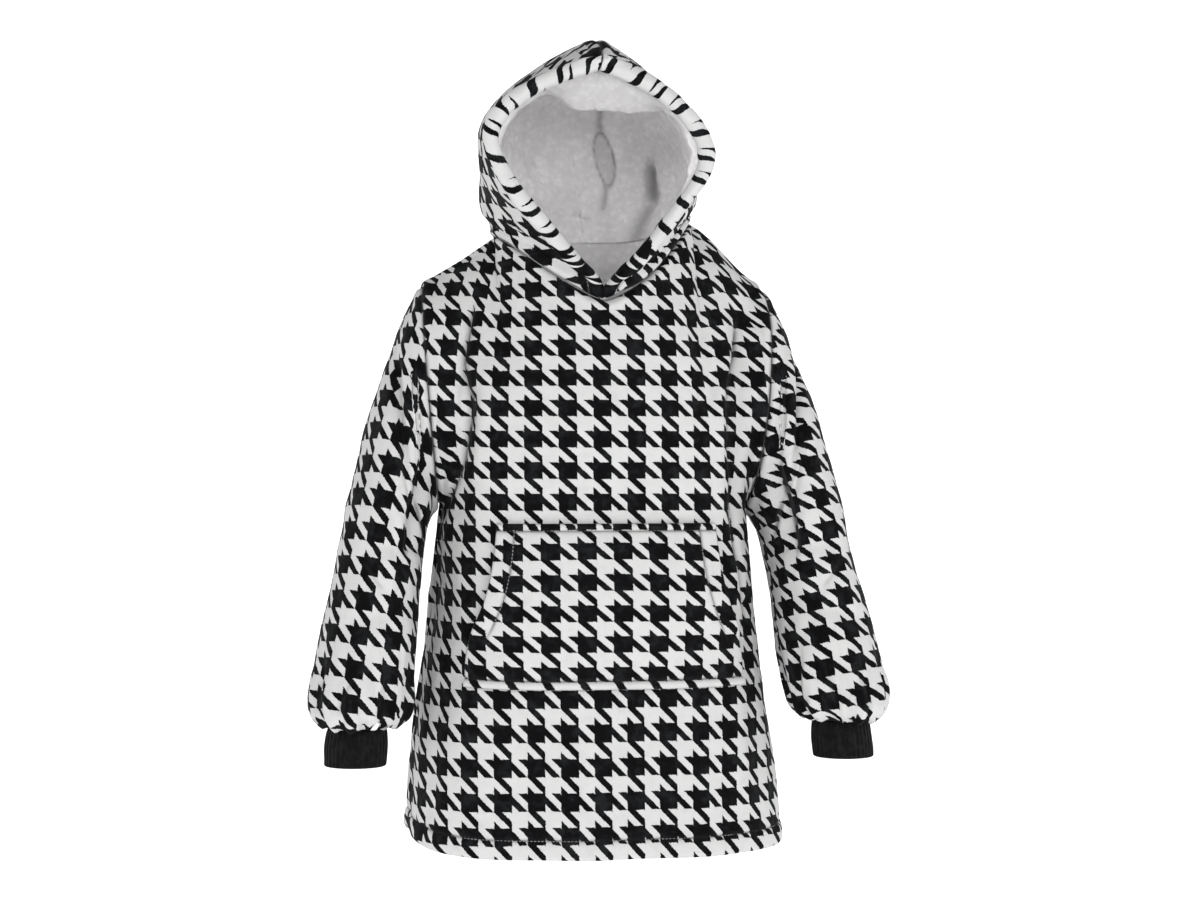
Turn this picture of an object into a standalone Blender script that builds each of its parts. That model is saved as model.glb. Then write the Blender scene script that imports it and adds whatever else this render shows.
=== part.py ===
"""Oversized pullover hoodie in its worn form, hollow, with no wearer.

Metres, +Z up. The front faces -Y and +X is the wearer's left. The origin is the
middle of the neck base, level with the points where the shoulder seams meet the
neckline: there the wearer's neck and shoulders hold the garment.

Every panel is a cloth wall. Its outer points are worked out from the section
tables below, and its inner points are those moved in by the wall thickness.
"""

import math
from collections import namedtuple

import bmesh
import bpy
import numpy as np

# Cloth
BODY_WALL = 0.0050
HOOD_WALL = 0.0035
LINING_WALL = 0.0050
POCKET_WALL = 0.0040
CUFF_WALL = 0.0030
SEAM_GAP = 0.0003

# Body
HEM_Z = -0.776
HEM_SIDE_RISE = {1: 0.010, -1: 0.030}
UNDERARM_Z = -0.335
UNDERARM_SHARE = 0.56
SIDE_SQUARENESS = 3.0
TYPICAL_SLIMNESS = 0.62
NECK_HALF_WIDTH = 0.128
NECK_POINT_Y = 0.004
NECK_POINT_Z = 0.009
NECK_SHARE = 0.5
FRONT_NECK_Y = -0.112
FRONT_NECK_Z = -0.077
FRONT_NECK_DIP_POWER = 1.35
BACK_NECK_Y = 0.086
BACK_NECK_Z = 0.016
BACK_NECK_DIP_POWER = 2.0
SHOULDER_TIP_X = 0.222
SHOULDER_TIP_Z = -0.055
SHOULDER_ROLL = 0.15
SHOULDER_RISE = 0.05
SIDE_PULL = 1.05
NECK_PULL = 0.8
NECK_LEAN = 0.30
ROLL_START = 0.12
ROLL_END = 0.55
TANGENT_STEP = 0.02
ARMHOLE_FADE_POWER = 4
CHEST_FULLNESS = {-1: 0.020, 1: 0.012}
HEM_RISE_POWER = 3
FLUTE_COUNT = 7
FLUTE_DEPTH = 0.0035
FLUTE_TOP_Z = -0.50
FLUTE_SPAN = 0.246
FLUTE_PHASE = 0.6

# The worn form is uneven: the hood's crown leans to the wearer's right and the left
# shoulder sits higher, each fading softly over its reach
CROWN_LEAN = -0.012
CROWN_LEAN_Z = 0.180
CROWN_LEAN_REACH = 0.055
SHOULDER_LIFT = 0.024
SHOULDER_LIFT_X = 0.138
SHOULDER_LIFT_REACH_X = 0.055
SHOULDER_LIFT_Z = 0.0
SHOULDER_LIFT_REACH_Z = 0.080

BodySection = namedtuple("BodySection", "z half_width front_depth back_depth")
BODY_SECTIONS = (
    BodySection(z=-0.776, half_width=0.243, front_depth=0.142, back_depth=0.124),
    BodySection(z=-0.700, half_width=0.238, front_depth=0.140, back_depth=0.122),
    BodySection(z=-0.617, half_width=0.230, front_depth=0.137, back_depth=0.119),
    BodySection(z=-0.540, half_width=0.219, front_depth=0.135, back_depth=0.117),
    BodySection(z=-0.470, half_width=0.210, front_depth=0.134, back_depth=0.116),
    BodySection(z=-0.400, half_width=0.202, front_depth=0.134, back_depth=0.117),
    BodySection(z=-0.335, half_width=0.197, front_depth=0.134, back_depth=0.119),
)

# Sleeve, as rings from the armhole down: the outermost and the innermost point of
# each ring, how far forward its middle lies, and half its depth
SleeveRing = namedtuple(
    "SleeveRing", "outer_x outer_z inner_x inner_z middle_y half_depth"
)
SLEEVE_RINGS = (
    SleeveRing(0.222, -0.055, 0.197, -0.335, 0.000, 0.082),
    SleeveRing(0.246, -0.100, 0.204, -0.347, -0.003, 0.087),
    SleeveRing(0.269, -0.160, 0.210, -0.357, -0.010, 0.089),
    SleeveRing(0.285, -0.205, 0.215, -0.368, -0.017, 0.087),
    SleeveRing(0.300, -0.260, 0.219, -0.383, -0.026, 0.084),
    SleeveRing(0.319, -0.335, 0.223, -0.408, -0.038, 0.081),
    SleeveRing(0.336, -0.420, 0.227, -0.452, -0.052, 0.077),
    SleeveRing(0.350, -0.480, 0.230, -0.496, -0.062, 0.075),
    SleeveRing(0.360, -0.535, 0.235, -0.542, -0.072, 0.074),
    SleeveRing(0.368, -0.575, 0.241, -0.578, -0.080, 0.072),
    SleeveRing(0.365, -0.596, 0.248, -0.597, -0.085, 0.066),
    SleeveRing(0.3530, -0.608, 0.264, -0.608, -0.089, 0.050),
    SleeveRing(0.3460, -0.612, 0.2720, -0.612, -0.090, 0.0370),
)
SLEEVE_SQUARENESS = 2.15
ARMHOLE_BULGE = 0.009
ARMHOLE_BULGE_REACH = 0.2
SLEEVE_ROW_POWER = 0.92
GATHER_COUNT = 12
GATHER_DEPTH = 0.0035
GATHER_START = 0.72
GATHER_FULL = 0.97
GATHER_FADE = 0.985

# Cuff
CUFF_HEIGHT = 0.046
CUFF_INSET = 0.0004
CUFF_FLARE = 0.0015
CUFF_LEAN_X = 0.003
CUFF_LEAN_Y = -0.003
CUFF_RIBS = 36
CUFF_RIB_HEIGHT = 0.0007

# Hood
RIM_RADIUS = 0.0095
RIM_NOSE = 0.0030
RIM_COLUMNS = 6
FACE_PULL = 1.15
NECK_STRAIGHTENS = 0.22
NECK_BLEND_TOP = 0.6
PEAK_NORMAL = (0.0, -0.62, 0.78)
NECK_BLEND_POWER = 3.0
LINING_GAP = 0.0006

FacePoint = namedtuple("FacePoint", "x y z")
FACE_EDGE = (
    FacePoint(x=0.000, y=-0.115, z=-0.0765),
    FacePoint(x=0.004, y=-0.121, z=-0.057),
    FacePoint(x=0.030, y=-0.127, z=-0.032),
    FacePoint(x=0.060, y=-0.132, z=-0.001),
    FacePoint(x=0.086, y=-0.136, z=0.027),
    FacePoint(x=0.109, y=-0.139, z=0.055),
    FacePoint(x=0.122, y=-0.142, z=0.086),
    FacePoint(x=0.123, y=-0.144, z=0.116),
    FacePoint(x=0.110, y=-0.145, z=0.149),
    FacePoint(x=0.084, y=-0.144, z=0.177),
    FacePoint(x=0.049, y=-0.142, z=0.198),
    FacePoint(x=0.018, y=-0.140, z=0.209),
    FacePoint(x=0.000, y=-0.139, z=0.212),
)
# How far each row of the hood flares out behind the face edge, and how broadly it
# rounds into the crown seam, by its share of the way up
HoodForm = namedtuple("HoodForm", "up flare seam_pull")
HOOD_FORM = (
    HoodForm(up=0.00, flare=1.40, seam_pull=1.55),
    HoodForm(up=0.18, flare=1.05, seam_pull=1.48),
    HoodForm(up=0.32, flare=0.68, seam_pull=1.38),
    HoodForm(up=0.48, flare=0.42, seam_pull=1.25),
    HoodForm(up=0.65, flare=0.23, seam_pull=0.90),
    HoodForm(up=0.82, flare=0.10, seam_pull=0.60),
    HoodForm(up=1.00, flare=0.05, seam_pull=0.50),
)
SeamPoint = namedtuple("SeamPoint", "y z")
CROWN_SEAM = (
    SeamPoint(y=0.086, z=0.016),
    SeamPoint(y=0.112, z=0.050),
    SeamPoint(y=0.134, z=0.095),
    SeamPoint(y=0.143, z=0.145),
    SeamPoint(y=0.130, z=0.195),
    SeamPoint(y=0.092, z=0.234),
    SeamPoint(y=0.038, z=0.254),
    SeamPoint(y=-0.020, z=0.260),
    SeamPoint(y=-0.070, z=0.253),
    SeamPoint(y=-0.110, z=0.235),
    SeamPoint(y=-0.139, z=0.212),
)

# Pocket
POCKET_LIFT = 0.0005
POCKET_FULLNESS = 0.0130
POCKET_FULL_POWER = 0.7
POCKET_SEWN_TOP = -0.485
POCKET_SEWN_FADE = 0.03
POCKET_SIDE_POWER = 6
PocketRow = namedtuple("PocketRow", "z half_width")
POCKET_ROWS = (
    PocketRow(z=-0.358, half_width=0.136),
    PocketRow(z=-0.405, half_width=0.139),
    PocketRow(z=-0.446, half_width=0.146),
    PocketRow(z=-0.482, half_width=0.158),
    PocketRow(z=-0.510, half_width=0.170),
    PocketRow(z=-0.564, half_width=0.176),
)

# The largest folds: a soft trough (or, with a depth below 0, a ridge) along a line.
# On the body a line runs from x0, z0 to x1, z1 on the front (-1) or back (1).
BodyFold = namedtuple("BodyFold", "side x0 z0 x1 z1 half_breadth depth")
BODY_FOLDS = (
    BodyFold(side=-1, x0=-0.160, z0=-0.105, x1=-0.188, z1=-0.370, half_breadth=0.016, depth=0.011),
    BodyFold(side=-1, x0=0.184, z0=-0.095, x1=0.168, z1=-0.390, half_breadth=0.016, depth=0.011),
    BodyFold(side=-1, x0=-0.195, z0=-0.400, x1=-0.205, z1=-0.600, half_breadth=0.018, depth=0.006),
    BodyFold(side=-1, x0=0.188, z0=-0.470, x1=0.212, z1=-0.720, half_breadth=0.018, depth=0.006),
    BodyFold(side=1, x0=-0.165, z0=-0.110, x1=-0.172, z1=-0.400, half_breadth=0.018, depth=0.010),
    BodyFold(side=1, x0=0.160, z0=-0.120, x1=0.178, z1=-0.430, half_breadth=0.018, depth=0.010),
    BodyFold(side=1, x0=-0.060, z0=-0.300, x1=-0.090, z1=-0.640, half_breadth=0.024, depth=0.006),
    BodyFold(side=1, x0=0.075, z0=-0.350, x1=0.100, z1=-0.700, half_breadth=0.024, depth=0.006),
)
# On a sleeve a line runs from turn0, down0 to turn1, down1: degrees round from the
# outside by the front (270 is the back), and the share of the way down.
SleeveFold = namedtuple("SleeveFold", "turn0 down0 turn1 down1 half_breadth depth")
SLEEVE_FOLDS = (
    SleeveFold(turn0=20, down0=0.16, turn1=95, down1=0.26, half_breadth=0.013, depth=0.008),
    SleeveFold(turn0=118, down0=0.10, turn1=125, down1=0.46, half_breadth=0.016, depth=0.010),
    SleeveFold(turn0=150, down0=0.45, turn1=60, down1=0.58, half_breadth=0.016, depth=0.005),
    SleeveFold(turn0=145, down0=0.66, turn1=50, down1=0.76, half_breadth=0.015, depth=0.005),
    SleeveFold(turn0=235, down0=0.10, turn1=240, down1=0.48, half_breadth=0.018, depth=0.009),
    SleeveFold(turn0=330, down0=0.20, turn1=262, down1=0.30, half_breadth=0.014, depth=0.007),
    SleeveFold(turn0=220, down0=0.55, turn1=300, down1=0.68, half_breadth=0.017, depth=0.005),
)
TURN_LENGTH = 0.075
SLEEVE_LENGTH = 0.58
FOLD_END_FADE = 2.2

# Mesh density
FRONT_COLUMNS = 29
FRONT_ROWS = 21
BACK_COLUMNS = 25
BACK_ROWS = 19
SLEEVE_COLUMNS = 36
SLEEVE_ROWS = 19
HOOD_ROWS = 18
FINE_POINTS = 97
SECTION_POINTS = 400
SHARP_ANGLE = math.radians(50)
JOIN_DISTANCE = 1e-6
POCKET_REACH = 0.60
POCKET_GRID_ROWS = 9

Finish = namedtuple("Finish", "name colour roughness")
FLEECE = Finish("fleece", (0.46, 0.46, 0.46, 1.0), 0.85)
SHERPA = Finish("sherpa", (0.72, 0.71, 0.69, 1.0), 0.95)
RIB_KNIT = Finish("rib_knit", (0.012, 0.012, 0.013, 1.0), 0.80)

LEFT = 1
RIGHT = -1
FRONT = -1
BACK = 1


def smooth_step(value):
    """0 below 0, 1 above 1, and a soft rise between."""
    held = np.clip(value, 0.0, 1.0)
    return held * held * (3.0 - 2.0 * held)


def hermite(start, end, leave, arrive, t):
    """Points at t of the cubic from start to end with the given end tangents."""
    t2 = t * t
    t3 = t2 * t
    return (
        (2 * t3 - 3 * t2 + 1) * start
        + (t3 - 2 * t2 + t) * leave
        + (3 * t2 - 2 * t3) * end
        + (t3 - t2) * arrive
    )


def curve_through(knots, values, at):
    """A smooth curve through table rows: values (rows, n) at rising knots, read at `at`."""
    knots = np.asarray(knots, float)
    values = np.asarray(values, float)
    slopes = np.gradient(values, knots, axis=0)
    at = np.clip(np.asarray(at, float), knots[0], knots[-1])
    low = np.clip(np.searchsorted(knots, at, side="right") - 1, 0, len(knots) - 2)
    width = (knots[low + 1] - knots[low])[..., None]
    t = (at[..., None] - knots[low][..., None]) / width
    return hermite(
        values[low], values[low + 1], slopes[low] * width, slopes[low + 1] * width, t
    )


def even_knots(points):
    """The share of its length at which a run of points reaches each point."""
    steps = np.linalg.norm(np.diff(points, axis=0), axis=1)
    lengths = np.concatenate([[0.0], np.cumsum(steps)])
    return lengths / lengths[-1]


def trough(near_a, near_b, at, half_breadth, depth):
    """How deep a soft trough from near_a to near_b is at each point of `at` (..., 2)."""
    start = np.asarray(near_a, float)
    run = np.asarray(near_b, float) - start
    share = ((at - start) @ run) / (run @ run)
    beyond = np.clip(share, 0.0, 1.0)
    away = np.linalg.norm(at - start - beyond[..., None] * run, axis=-1)
    fade = smooth_step(0.5 + FOLD_END_FADE * (0.5 - np.abs(beyond - 0.5)))
    return depth * fade * np.exp(-((away / half_breadth) ** 2))


def grid_normals(grid, wrap):
    """Unit normals of a grid of points, rows by columns; wrap joins the columns."""
    down = np.gradient(grid, axis=0)
    if wrap:
        along = (np.roll(grid, -1, axis=1) - np.roll(grid, 1, axis=1)) / 2
    else:
        along = np.gradient(grid, axis=1)
    normals = np.cross(along, down)
    size = np.linalg.norm(normals, axis=2, keepdims=True)
    return normals / np.maximum(size, 1e-12)


def without(normals, axis):
    """Normals laid into the plane across an axis, so that two edges meet flat there."""
    flat = normals.copy()
    flat[..., axis] = 0.0
    return flat / np.maximum(np.linalg.norm(flat, axis=-1, keepdims=True), 1e-9)


def as_worn(points):
    """Points with the worn form's unevenness: the crown leans, one shoulder is higher."""
    x = points[:, 0]
    z = points[:, 2]
    lean = np.exp(-(((z - CROWN_LEAN_Z) / CROWN_LEAN_REACH) ** 2))
    near_x = np.exp(-(((x - SHOULDER_LIFT_X) / SHOULDER_LIFT_REACH_X) ** 2))
    near_z = np.exp(-(((z - SHOULDER_LIFT_Z) / SHOULDER_LIFT_REACH_Z) ** 2))
    worn = points.copy()
    worn[:, 0] += CROWN_LEAN * lean
    worn[:, 2] += SHOULDER_LIFT * near_x * near_z
    return worn


def wall_object(name, outer, inner, wrap, finish):
    """A closed cloth wall between two grids of points, as one named object."""
    rows, columns = outer.shape[:2]
    count = rows * columns
    points = as_worn(np.concatenate([outer.reshape(-1, 3), inner.reshape(-1, 3)]))
    faces = []
    across = columns if wrap else columns - 1
    for row in range(rows - 1):
        for column in range(across):
            a = row * columns + column
            b = row * columns + (column + 1) % columns
            faces.append((a, b, b + columns, a + columns))
            faces.append((count + a, count + a + columns, count + b + columns, count + b))
    last = (rows - 1) * columns
    for column in range(across):
        a = column
        b = (column + 1) % columns
        faces.append((b, a, count + a, count + b))
        faces.append((last + a, last + b, count + last + b, count + last + a))
    if not wrap:
        for row in range(rows - 1):
            a = row * columns
            b = a + columns
            faces.append((a, b, count + b, count + a))
            c = a + columns - 1
            d = c + columns
            faces.append((d, c, count + c, count + d))
    return mesh_object(name, points, faces, finish)


def material_of(finish):
    """The Principled material of a finish, made once."""
    found = bpy.data.materials.get(finish.name)
    if found:
        return found
    material = bpy.data.materials.new(finish.name)
    material.use_nodes = True
    shader = material.node_tree.nodes["Principled BSDF"]
    shader.inputs["Base Color"].default_value = finish.colour
    shader.inputs["Roughness"].default_value = finish.roughness
    shader.inputs["Metallic"].default_value = 0.0
    return material


def mesh_object(name, points, faces, finish):
    """An object from points and faces, with coinciding points joined and faces turned out."""
    mesh = bpy.data.meshes.new(name)
    mesh.from_pydata([tuple(point) for point in points], [], faces)
    shape = bmesh.new()
    shape.from_mesh(mesh)
    bmesh.ops.remove_doubles(shape, verts=shape.verts, dist=JOIN_DISTANCE)
    bmesh.ops.triangulate(shape, faces=shape.faces)
    bmesh.ops.recalc_face_normals(shape, faces=shape.faces)
    if shape.calc_volume(signed=True) < 0:
        bmesh.ops.reverse_faces(shape, faces=shape.faces)
    shape.to_mesh(mesh)
    shape.free()
    mesh.shade_smooth()
    mesh.set_sharp_from_angle(angle=SHARP_ANGLE)
    mesh.materials.append(material_of(finish))
    made = bpy.data.objects.new(name, mesh)
    bpy.context.scene.collection.objects.link(made)
    return made


def neckline(side, turn):
    """The neckline's points: turn 0 is the centre front or back, 90 the neck point."""
    angle = np.radians(turn)
    centre_y = FRONT_NECK_Y if side == FRONT else BACK_NECK_Y
    centre_z = FRONT_NECK_Z if side == FRONT else BACK_NECK_Z
    power = FRONT_NECK_DIP_POWER if side == FRONT else BACK_NECK_DIP_POWER
    sine = np.abs(np.sin(angle))
    x = NECK_HALF_WIDTH * np.sin(angle)
    y = NECK_POINT_Y + (centre_y - NECK_POINT_Y) * np.cos(angle)
    z = NECK_POINT_Z + (centre_z - NECK_POINT_Z) * (1.0 - sine**power)
    return np.stack([x, y, z], axis=-1)


def top_edge(side, across):
    """A body panel's top edge: the neckline, then the shoulder seam out to the armhole."""
    share = np.abs(across)
    hand = np.sign(across)
    neck = neckline(side, 90.0 * np.minimum(share / NECK_SHARE, 1.0))
    out = np.clip((share - NECK_SHARE) / (1.0 - NECK_SHARE), 0.0, 1.0)[..., None]
    neck_point = np.array([NECK_HALF_WIDTH, NECK_POINT_Y, NECK_POINT_Z])
    tip = np.array([SHOULDER_TIP_X, 0.0, SHOULDER_TIP_Z])
    seam = neck_point + (tip - neck_point) * out
    edge = np.where((share <= NECK_SHARE)[..., None], neck, seam)
    edge[..., 0] *= hand
    return edge


def section_shares():
    """Evenly spaced shares of a section's quarter, with each one's share of width and depth."""
    angle = np.linspace(0.0, math.pi / 2, SECTION_POINTS)
    power = 2.0 / SIDE_SQUARENESS
    width = np.sin(angle) ** power
    depth = np.clip(np.cos(angle), 0.0, 1.0) ** power
    share = even_knots(np.stack([width, TYPICAL_SLIMNESS * depth], axis=1))
    return share, width, depth


def body_section(side, across, z):
    """Points of the body's level section at height z, from side seam to side seam."""
    knots = [row.z for row in BODY_SECTIONS]
    sizes = curve_through(knots, [row[1:] for row in BODY_SECTIONS], z)
    deepest = sizes[..., 1] if side == FRONT else sizes[..., 2]
    share, width, depth = section_shares()
    x = sizes[..., 0] * np.sign(across) * np.interp(np.abs(across), share, width)
    y = side * deepest * np.interp(np.abs(across), share, depth)
    return np.stack([x, y, z + 0.0 * x], axis=-1)


def sleeve_ring(down, turn):
    """Points of the left sleeve's ring at the share `down`, `turn` degrees round it."""
    knots = even_knots(np.array([(r.outer_x, r.outer_z) for r in SLEEVE_RINGS]))
    sizes = curve_through(knots, np.array(SLEEVE_RINGS), down)
    outer = np.stack([sizes[..., 0], sizes[..., 4], sizes[..., 1]], axis=-1)
    inner = np.stack([sizes[..., 2], sizes[..., 4], sizes[..., 3]], axis=-1)
    angle = np.radians(turn)
    power = 2.0 / SLEEVE_SQUARENESS
    along = np.sign(np.cos(angle)) * np.abs(np.cos(angle)) ** power
    deep = np.sign(np.sin(angle)) * np.abs(np.sin(angle)) ** power
    points = (outer + inner) / 2 + (outer - inner) / 2 * along[..., None]
    points[..., 1] -= sizes[..., 5] * deep
    bulge = ARMHOLE_BULGE * (1.0 - smooth_step(down / ARMHOLE_BULGE_REACH)) * np.abs(np.sin(angle))
    points[..., 0] += bulge
    return points


def body_points(side, across, up):
    """Outer points of the front or back: across -1 to 1, up 0 at the hem to 1 on top."""
    across, up = np.broadcast_arrays(across[None, :], up[:, None])
    share = np.clip(up / UNDERARM_SHARE, 0.0, 1.0)
    rise = np.where(across > 0.0, HEM_SIDE_RISE[LEFT], HEM_SIDE_RISE[RIGHT])
    rise = rise * np.abs(across) ** HEM_RISE_POWER * (1.0 - share)
    low_z = HEM_Z + (UNDERARM_Z - HEM_Z) * share + rise
    low = body_section(side, across, low_z)
    t = np.clip((up - UNDERARM_SHARE) / (1.0 - UNDERARM_SHARE), 0.0, 1.0)[..., None]
    base = body_section(side, across, np.full(across.shape, UNDERARM_Z))
    below = body_section(side, across, np.full(across.shape, UNDERARM_Z - TANGENT_STEP))
    top = top_edge(side, across)
    height = (top - base)[..., 2:3]
    leave = (base - below) / TANGENT_STEP * height * SIDE_PULL
    roll = smooth_step((np.abs(across) - ROLL_START) / (ROLL_END - ROLL_START))[..., None]
    arrive_neck = np.array([0.0, -side * NECK_LEAN, 1.0]) * height * NECK_PULL
    arrive_shoulder = np.array([0.0, -side * SHOULDER_ROLL, SHOULDER_RISE])
    arrive = arrive_neck + (arrive_shoulder - arrive_neck) * roll
    high = hermite(base, top, leave, arrive, t)
    full = CHEST_FULLNESS[side] * np.sin(math.pi * t[..., 0]) ** 2
    high[..., 1] += side * full * np.abs(across) ** 0.8 * (1.0 - np.abs(across) ** 3)
    return np.where((up <= UNDERARM_SHARE)[..., None], low, high)


def with_armhole(side, across, up, points):
    """Draws a panel's two upper edges onto the armhole, fading towards its middle."""
    t = np.clip((up - UNDERARM_SHARE) / (1.0 - UNDERARM_SHARE), 0.0, 1.0)
    turn = 180.0 * (1.0 - t)
    if side == BACK:
        turn = -turn
    armhole = sleeve_ring(np.zeros_like(turn), turn)
    moved = points.copy()
    for hand in (LEFT, RIGHT):
        edge = armhole * np.array([hand, 1.0, 1.0])
        column = -1 if hand == LEFT else 0
        shift = edge - points[:, column]
        shift[up <= UNDERARM_SHARE] = 0.0
        weight = np.clip(hand * across, 0.0, 1.0) ** ARMHOLE_FADE_POWER
        moved += shift[:, None, :] * weight[None, :, None]
    return moved


def folded_body(side, points, normals):
    """Panel points with the largest folds pressed in and soft flutes down to the hem."""
    level = points[..., [0, 2]]
    press = np.zeros(points.shape[:2])
    for fold in BODY_FOLDS:
        if fold.side == side:
            start = (fold.x0, fold.z0)
            end = (fold.x1, fold.z1)
            press += trough(start, end, level, fold.half_breadth, fold.depth)
    low = smooth_step((FLUTE_TOP_Z - points[..., 2]) / (FLUTE_TOP_Z - HEM_Z))
    turns = points[..., 0] / FLUTE_SPAN * FLUTE_COUNT / 2
    wave = np.sin(math.pi * turns + FLUTE_PHASE * side)
    press += FLUTE_DEPTH * low * wave
    return points - normals * press[..., None]


def panel_grid(side, columns, rows):
    """The outer grid and its normals of the front or the back panel."""
    across = np.linspace(-1.0, 1.0, columns)
    up = np.linspace(0.0, 1.0, rows)
    up[np.argmin(np.abs(up - UNDERARM_SHARE))] = UNDERARM_SHARE
    plain = with_armhole(side, across, up, body_points(side, across, up))
    facing = -side
    normals = grid_normals(plain, wrap=False) * facing
    folded = folded_body(side, plain, normals)
    edges = (np.abs(across) > 0.999)[None, :, None]
    folded = np.where(edges, plain, folded)
    folded[-1] = plain[-1]
    normals = grid_normals(folded, wrap=False) * facing
    seam = np.abs(across) >= NECK_SHARE
    normals[-1, seam] = without(normals[-1, seam], 1)
    low = up <= UNDERARM_SHARE
    for column, hand in ((0, RIGHT), (-1, LEFT)):
        normals[low, column] = without(normals[low, column], 1)
        sideways = np.maximum(hand * normals[:, column, 0], 0.0)
        normals[:, column, 0] = hand * sideways
        normals[:, column] /= np.linalg.norm(normals[:, column], axis=1, keepdims=True)
    return folded, normals


def body_panel(name, side, columns, rows):
    """The front or the back of the body, as one cloth wall."""
    outer, normals = panel_grid(side, columns, rows)
    inner = outer - normals * BODY_WALL
    shift = np.array([0.0, side * SEAM_GAP / 2, 0.0])
    return wall_object(name, outer + shift, inner + shift, False, FLEECE)


def pocket_base():
    """The front's points under the pocket, with their normals, rows from bottom to top."""
    across = np.linspace(-1.0, 1.0, FRONT_COLUMNS)
    z = np.linspace(POCKET_ROWS[-1].z, POCKET_ROWS[0].z, POCKET_GRID_ROWS)
    up = UNDERARM_SHARE * (z - HEM_Z) / (UNDERARM_Z - HEM_Z)
    whole = body_points(FRONT, across, up)
    whole = folded_body(FRONT, whole, grid_normals(whole, wrap=False))
    normals = grid_normals(whole, wrap=False)
    rising = POCKET_ROWS[::-1]
    half = curve_through([r.z for r in rising], [[r.half_width] for r in rising], z)
    columns = across[np.abs(across) <= POCKET_REACH]
    points = np.empty((len(z), len(columns) + 2, 3))
    facing = np.empty_like(points)
    for row in range(len(z)):
        low, high = np.interp([-half[row, 0], half[row, 0]], whole[row, :, 0], across)
        at = np.concatenate([[low], np.clip(columns, low, high), [high]])
        for axis in range(3):
            points[row, :, axis] = np.interp(at, across, whole[row, :, axis])
            facing[row, :, axis] = np.interp(at, across, normals[row, :, axis])
    return points, facing / np.linalg.norm(facing, axis=2, keepdims=True), half


def pocket():
    """The front pocket: the front's points moved out, open at both slanted sides."""
    base, normals, half = pocket_base()
    z = base[..., 2]
    across = base[..., 0] / half
    height = (z - POCKET_ROWS[-1].z) / (POCKET_ROWS[0].z - POCKET_ROWS[-1].z)
    full = np.sin(math.pi * np.clip(height, 0.0, 1.0)) ** POCKET_FULL_POWER
    sewn = smooth_step((POCKET_SEWN_TOP - z) / POCKET_SEWN_FADE)
    sides = 1.0 - sewn * np.clip(np.abs(across), 0.0, 1.0) ** POCKET_SIDE_POWER
    lift = POCKET_LIFT + POCKET_FULLNESS * full * sides
    inner = base + normals * lift[..., None]
    outer = inner + normals * POCKET_WALL
    return wall_object("pocket", outer, inner, False, FLEECE)


def sleeve_grid():
    """The outer grid and its normals of the left sleeve, armhole to cuff seam."""
    down = np.linspace(0.0, 1.0, SLEEVE_ROWS) ** SLEEVE_ROW_POWER
    turn = np.arange(SLEEVE_COLUMNS) * 360.0 / SLEEVE_COLUMNS
    down, turn = np.broadcast_arrays(down[:, None], turn[None, :])
    plain = sleeve_ring(down, turn)
    normals = grid_normals(plain, wrap=True)
    press = np.zeros(plain.shape[:2])
    spot = np.stack([np.radians(turn) * TURN_LENGTH, down * SLEEVE_LENGTH], axis=-1)
    for fold in SLEEVE_FOLDS:
        start = (math.radians(fold.turn0) * TURN_LENGTH, fold.down0 * SLEEVE_LENGTH)
        end = (math.radians(fold.turn1) * TURN_LENGTH, fold.down1 * SLEEVE_LENGTH)
        press += trough(start, end, spot, fold.half_breadth, fold.depth)
    gathered = smooth_step((down - GATHER_START) / (GATHER_FULL - GATHER_START))
    gathered = gathered * (1.0 - smooth_step((down - GATHER_FADE) / (1.0 - GATHER_FADE)))
    press += GATHER_DEPTH * gathered * np.cos(np.radians(turn) * GATHER_COUNT)
    press[0] = 0.0
    press[-1] = 0.0
    folded = plain - normals * press[..., None]
    normals = grid_normals(folded, wrap=True)
    normals[0] = without(normals[0], 0)
    normals[-1] = without(normals[-1], 2)
    return folded, normals


def sleeve(name, hand):
    """One sleeve, as a closed ring wall from the armhole to the cuff seam."""
    outer, normals = sleeve_grid()
    inner = outer - normals * BODY_WALL
    shift = np.array([2 * SEAM_GAP, 0.0, 0.0])
    mirror = np.array([hand, 1.0, 1.0])
    return wall_object(name, (outer + shift) * mirror, (inner + shift) * mirror, True, FLEECE)


def cuff(name, hand):
    """One ribbed cuff below its sleeve."""
    last = SLEEVE_RINGS[-1]
    top_radius = (last.outer_x - last.inner_x) / 2 - CUFF_INSET
    middle_x = (last.outer_x + last.inner_x) / 2 + 2 * SEAM_GAP
    down = np.linspace(0.0, 1.0, 3)[:, None]
    step = np.arange(2 * CUFF_RIBS)[None, :]
    angle = step * math.pi / CUFF_RIBS
    rib = CUFF_RIB_HEIGHT * (1 - 2 * (step % 2)) / 2
    radius = top_radius + CUFF_FLARE * down + rib
    x = middle_x + CUFF_LEAN_X * down
    y = last.middle_y + CUFF_LEAN_Y * down
    z = last.outer_z - SEAM_GAP - CUFF_HEIGHT * down
    rings = []
    for size in (radius, top_radius + CUFF_FLARE * down - CUFF_WALL + 0.0 * rib):
        ring = np.stack([x + size * np.cos(angle), y - size * np.sin(angle), z + 0.0 * size], -1)
        rings.append(ring * np.array([hand, 1.0, 1.0]))
    return wall_object(name, rings[0], rings[1], True, RIB_KNIT)


def neck_corners():
    """The panels' corners along one half of the neckline, with each one's turn, 0 to 180."""
    front_steps = round((FRONT_COLUMNS - 1) / 2 * NECK_SHARE)
    back_steps = round((BACK_COLUMNS - 1) / 2 * NECK_SHARE)
    front_turn = np.linspace(0.0, 90.0, front_steps + 1)
    back_turn = np.linspace(90.0, 0.0, back_steps + 1)[1:]
    corners = np.concatenate([neckline(FRONT, front_turn), neckline(BACK, back_turn)])
    return corners, np.concatenate([front_turn, 180.0 - back_turn])


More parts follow.
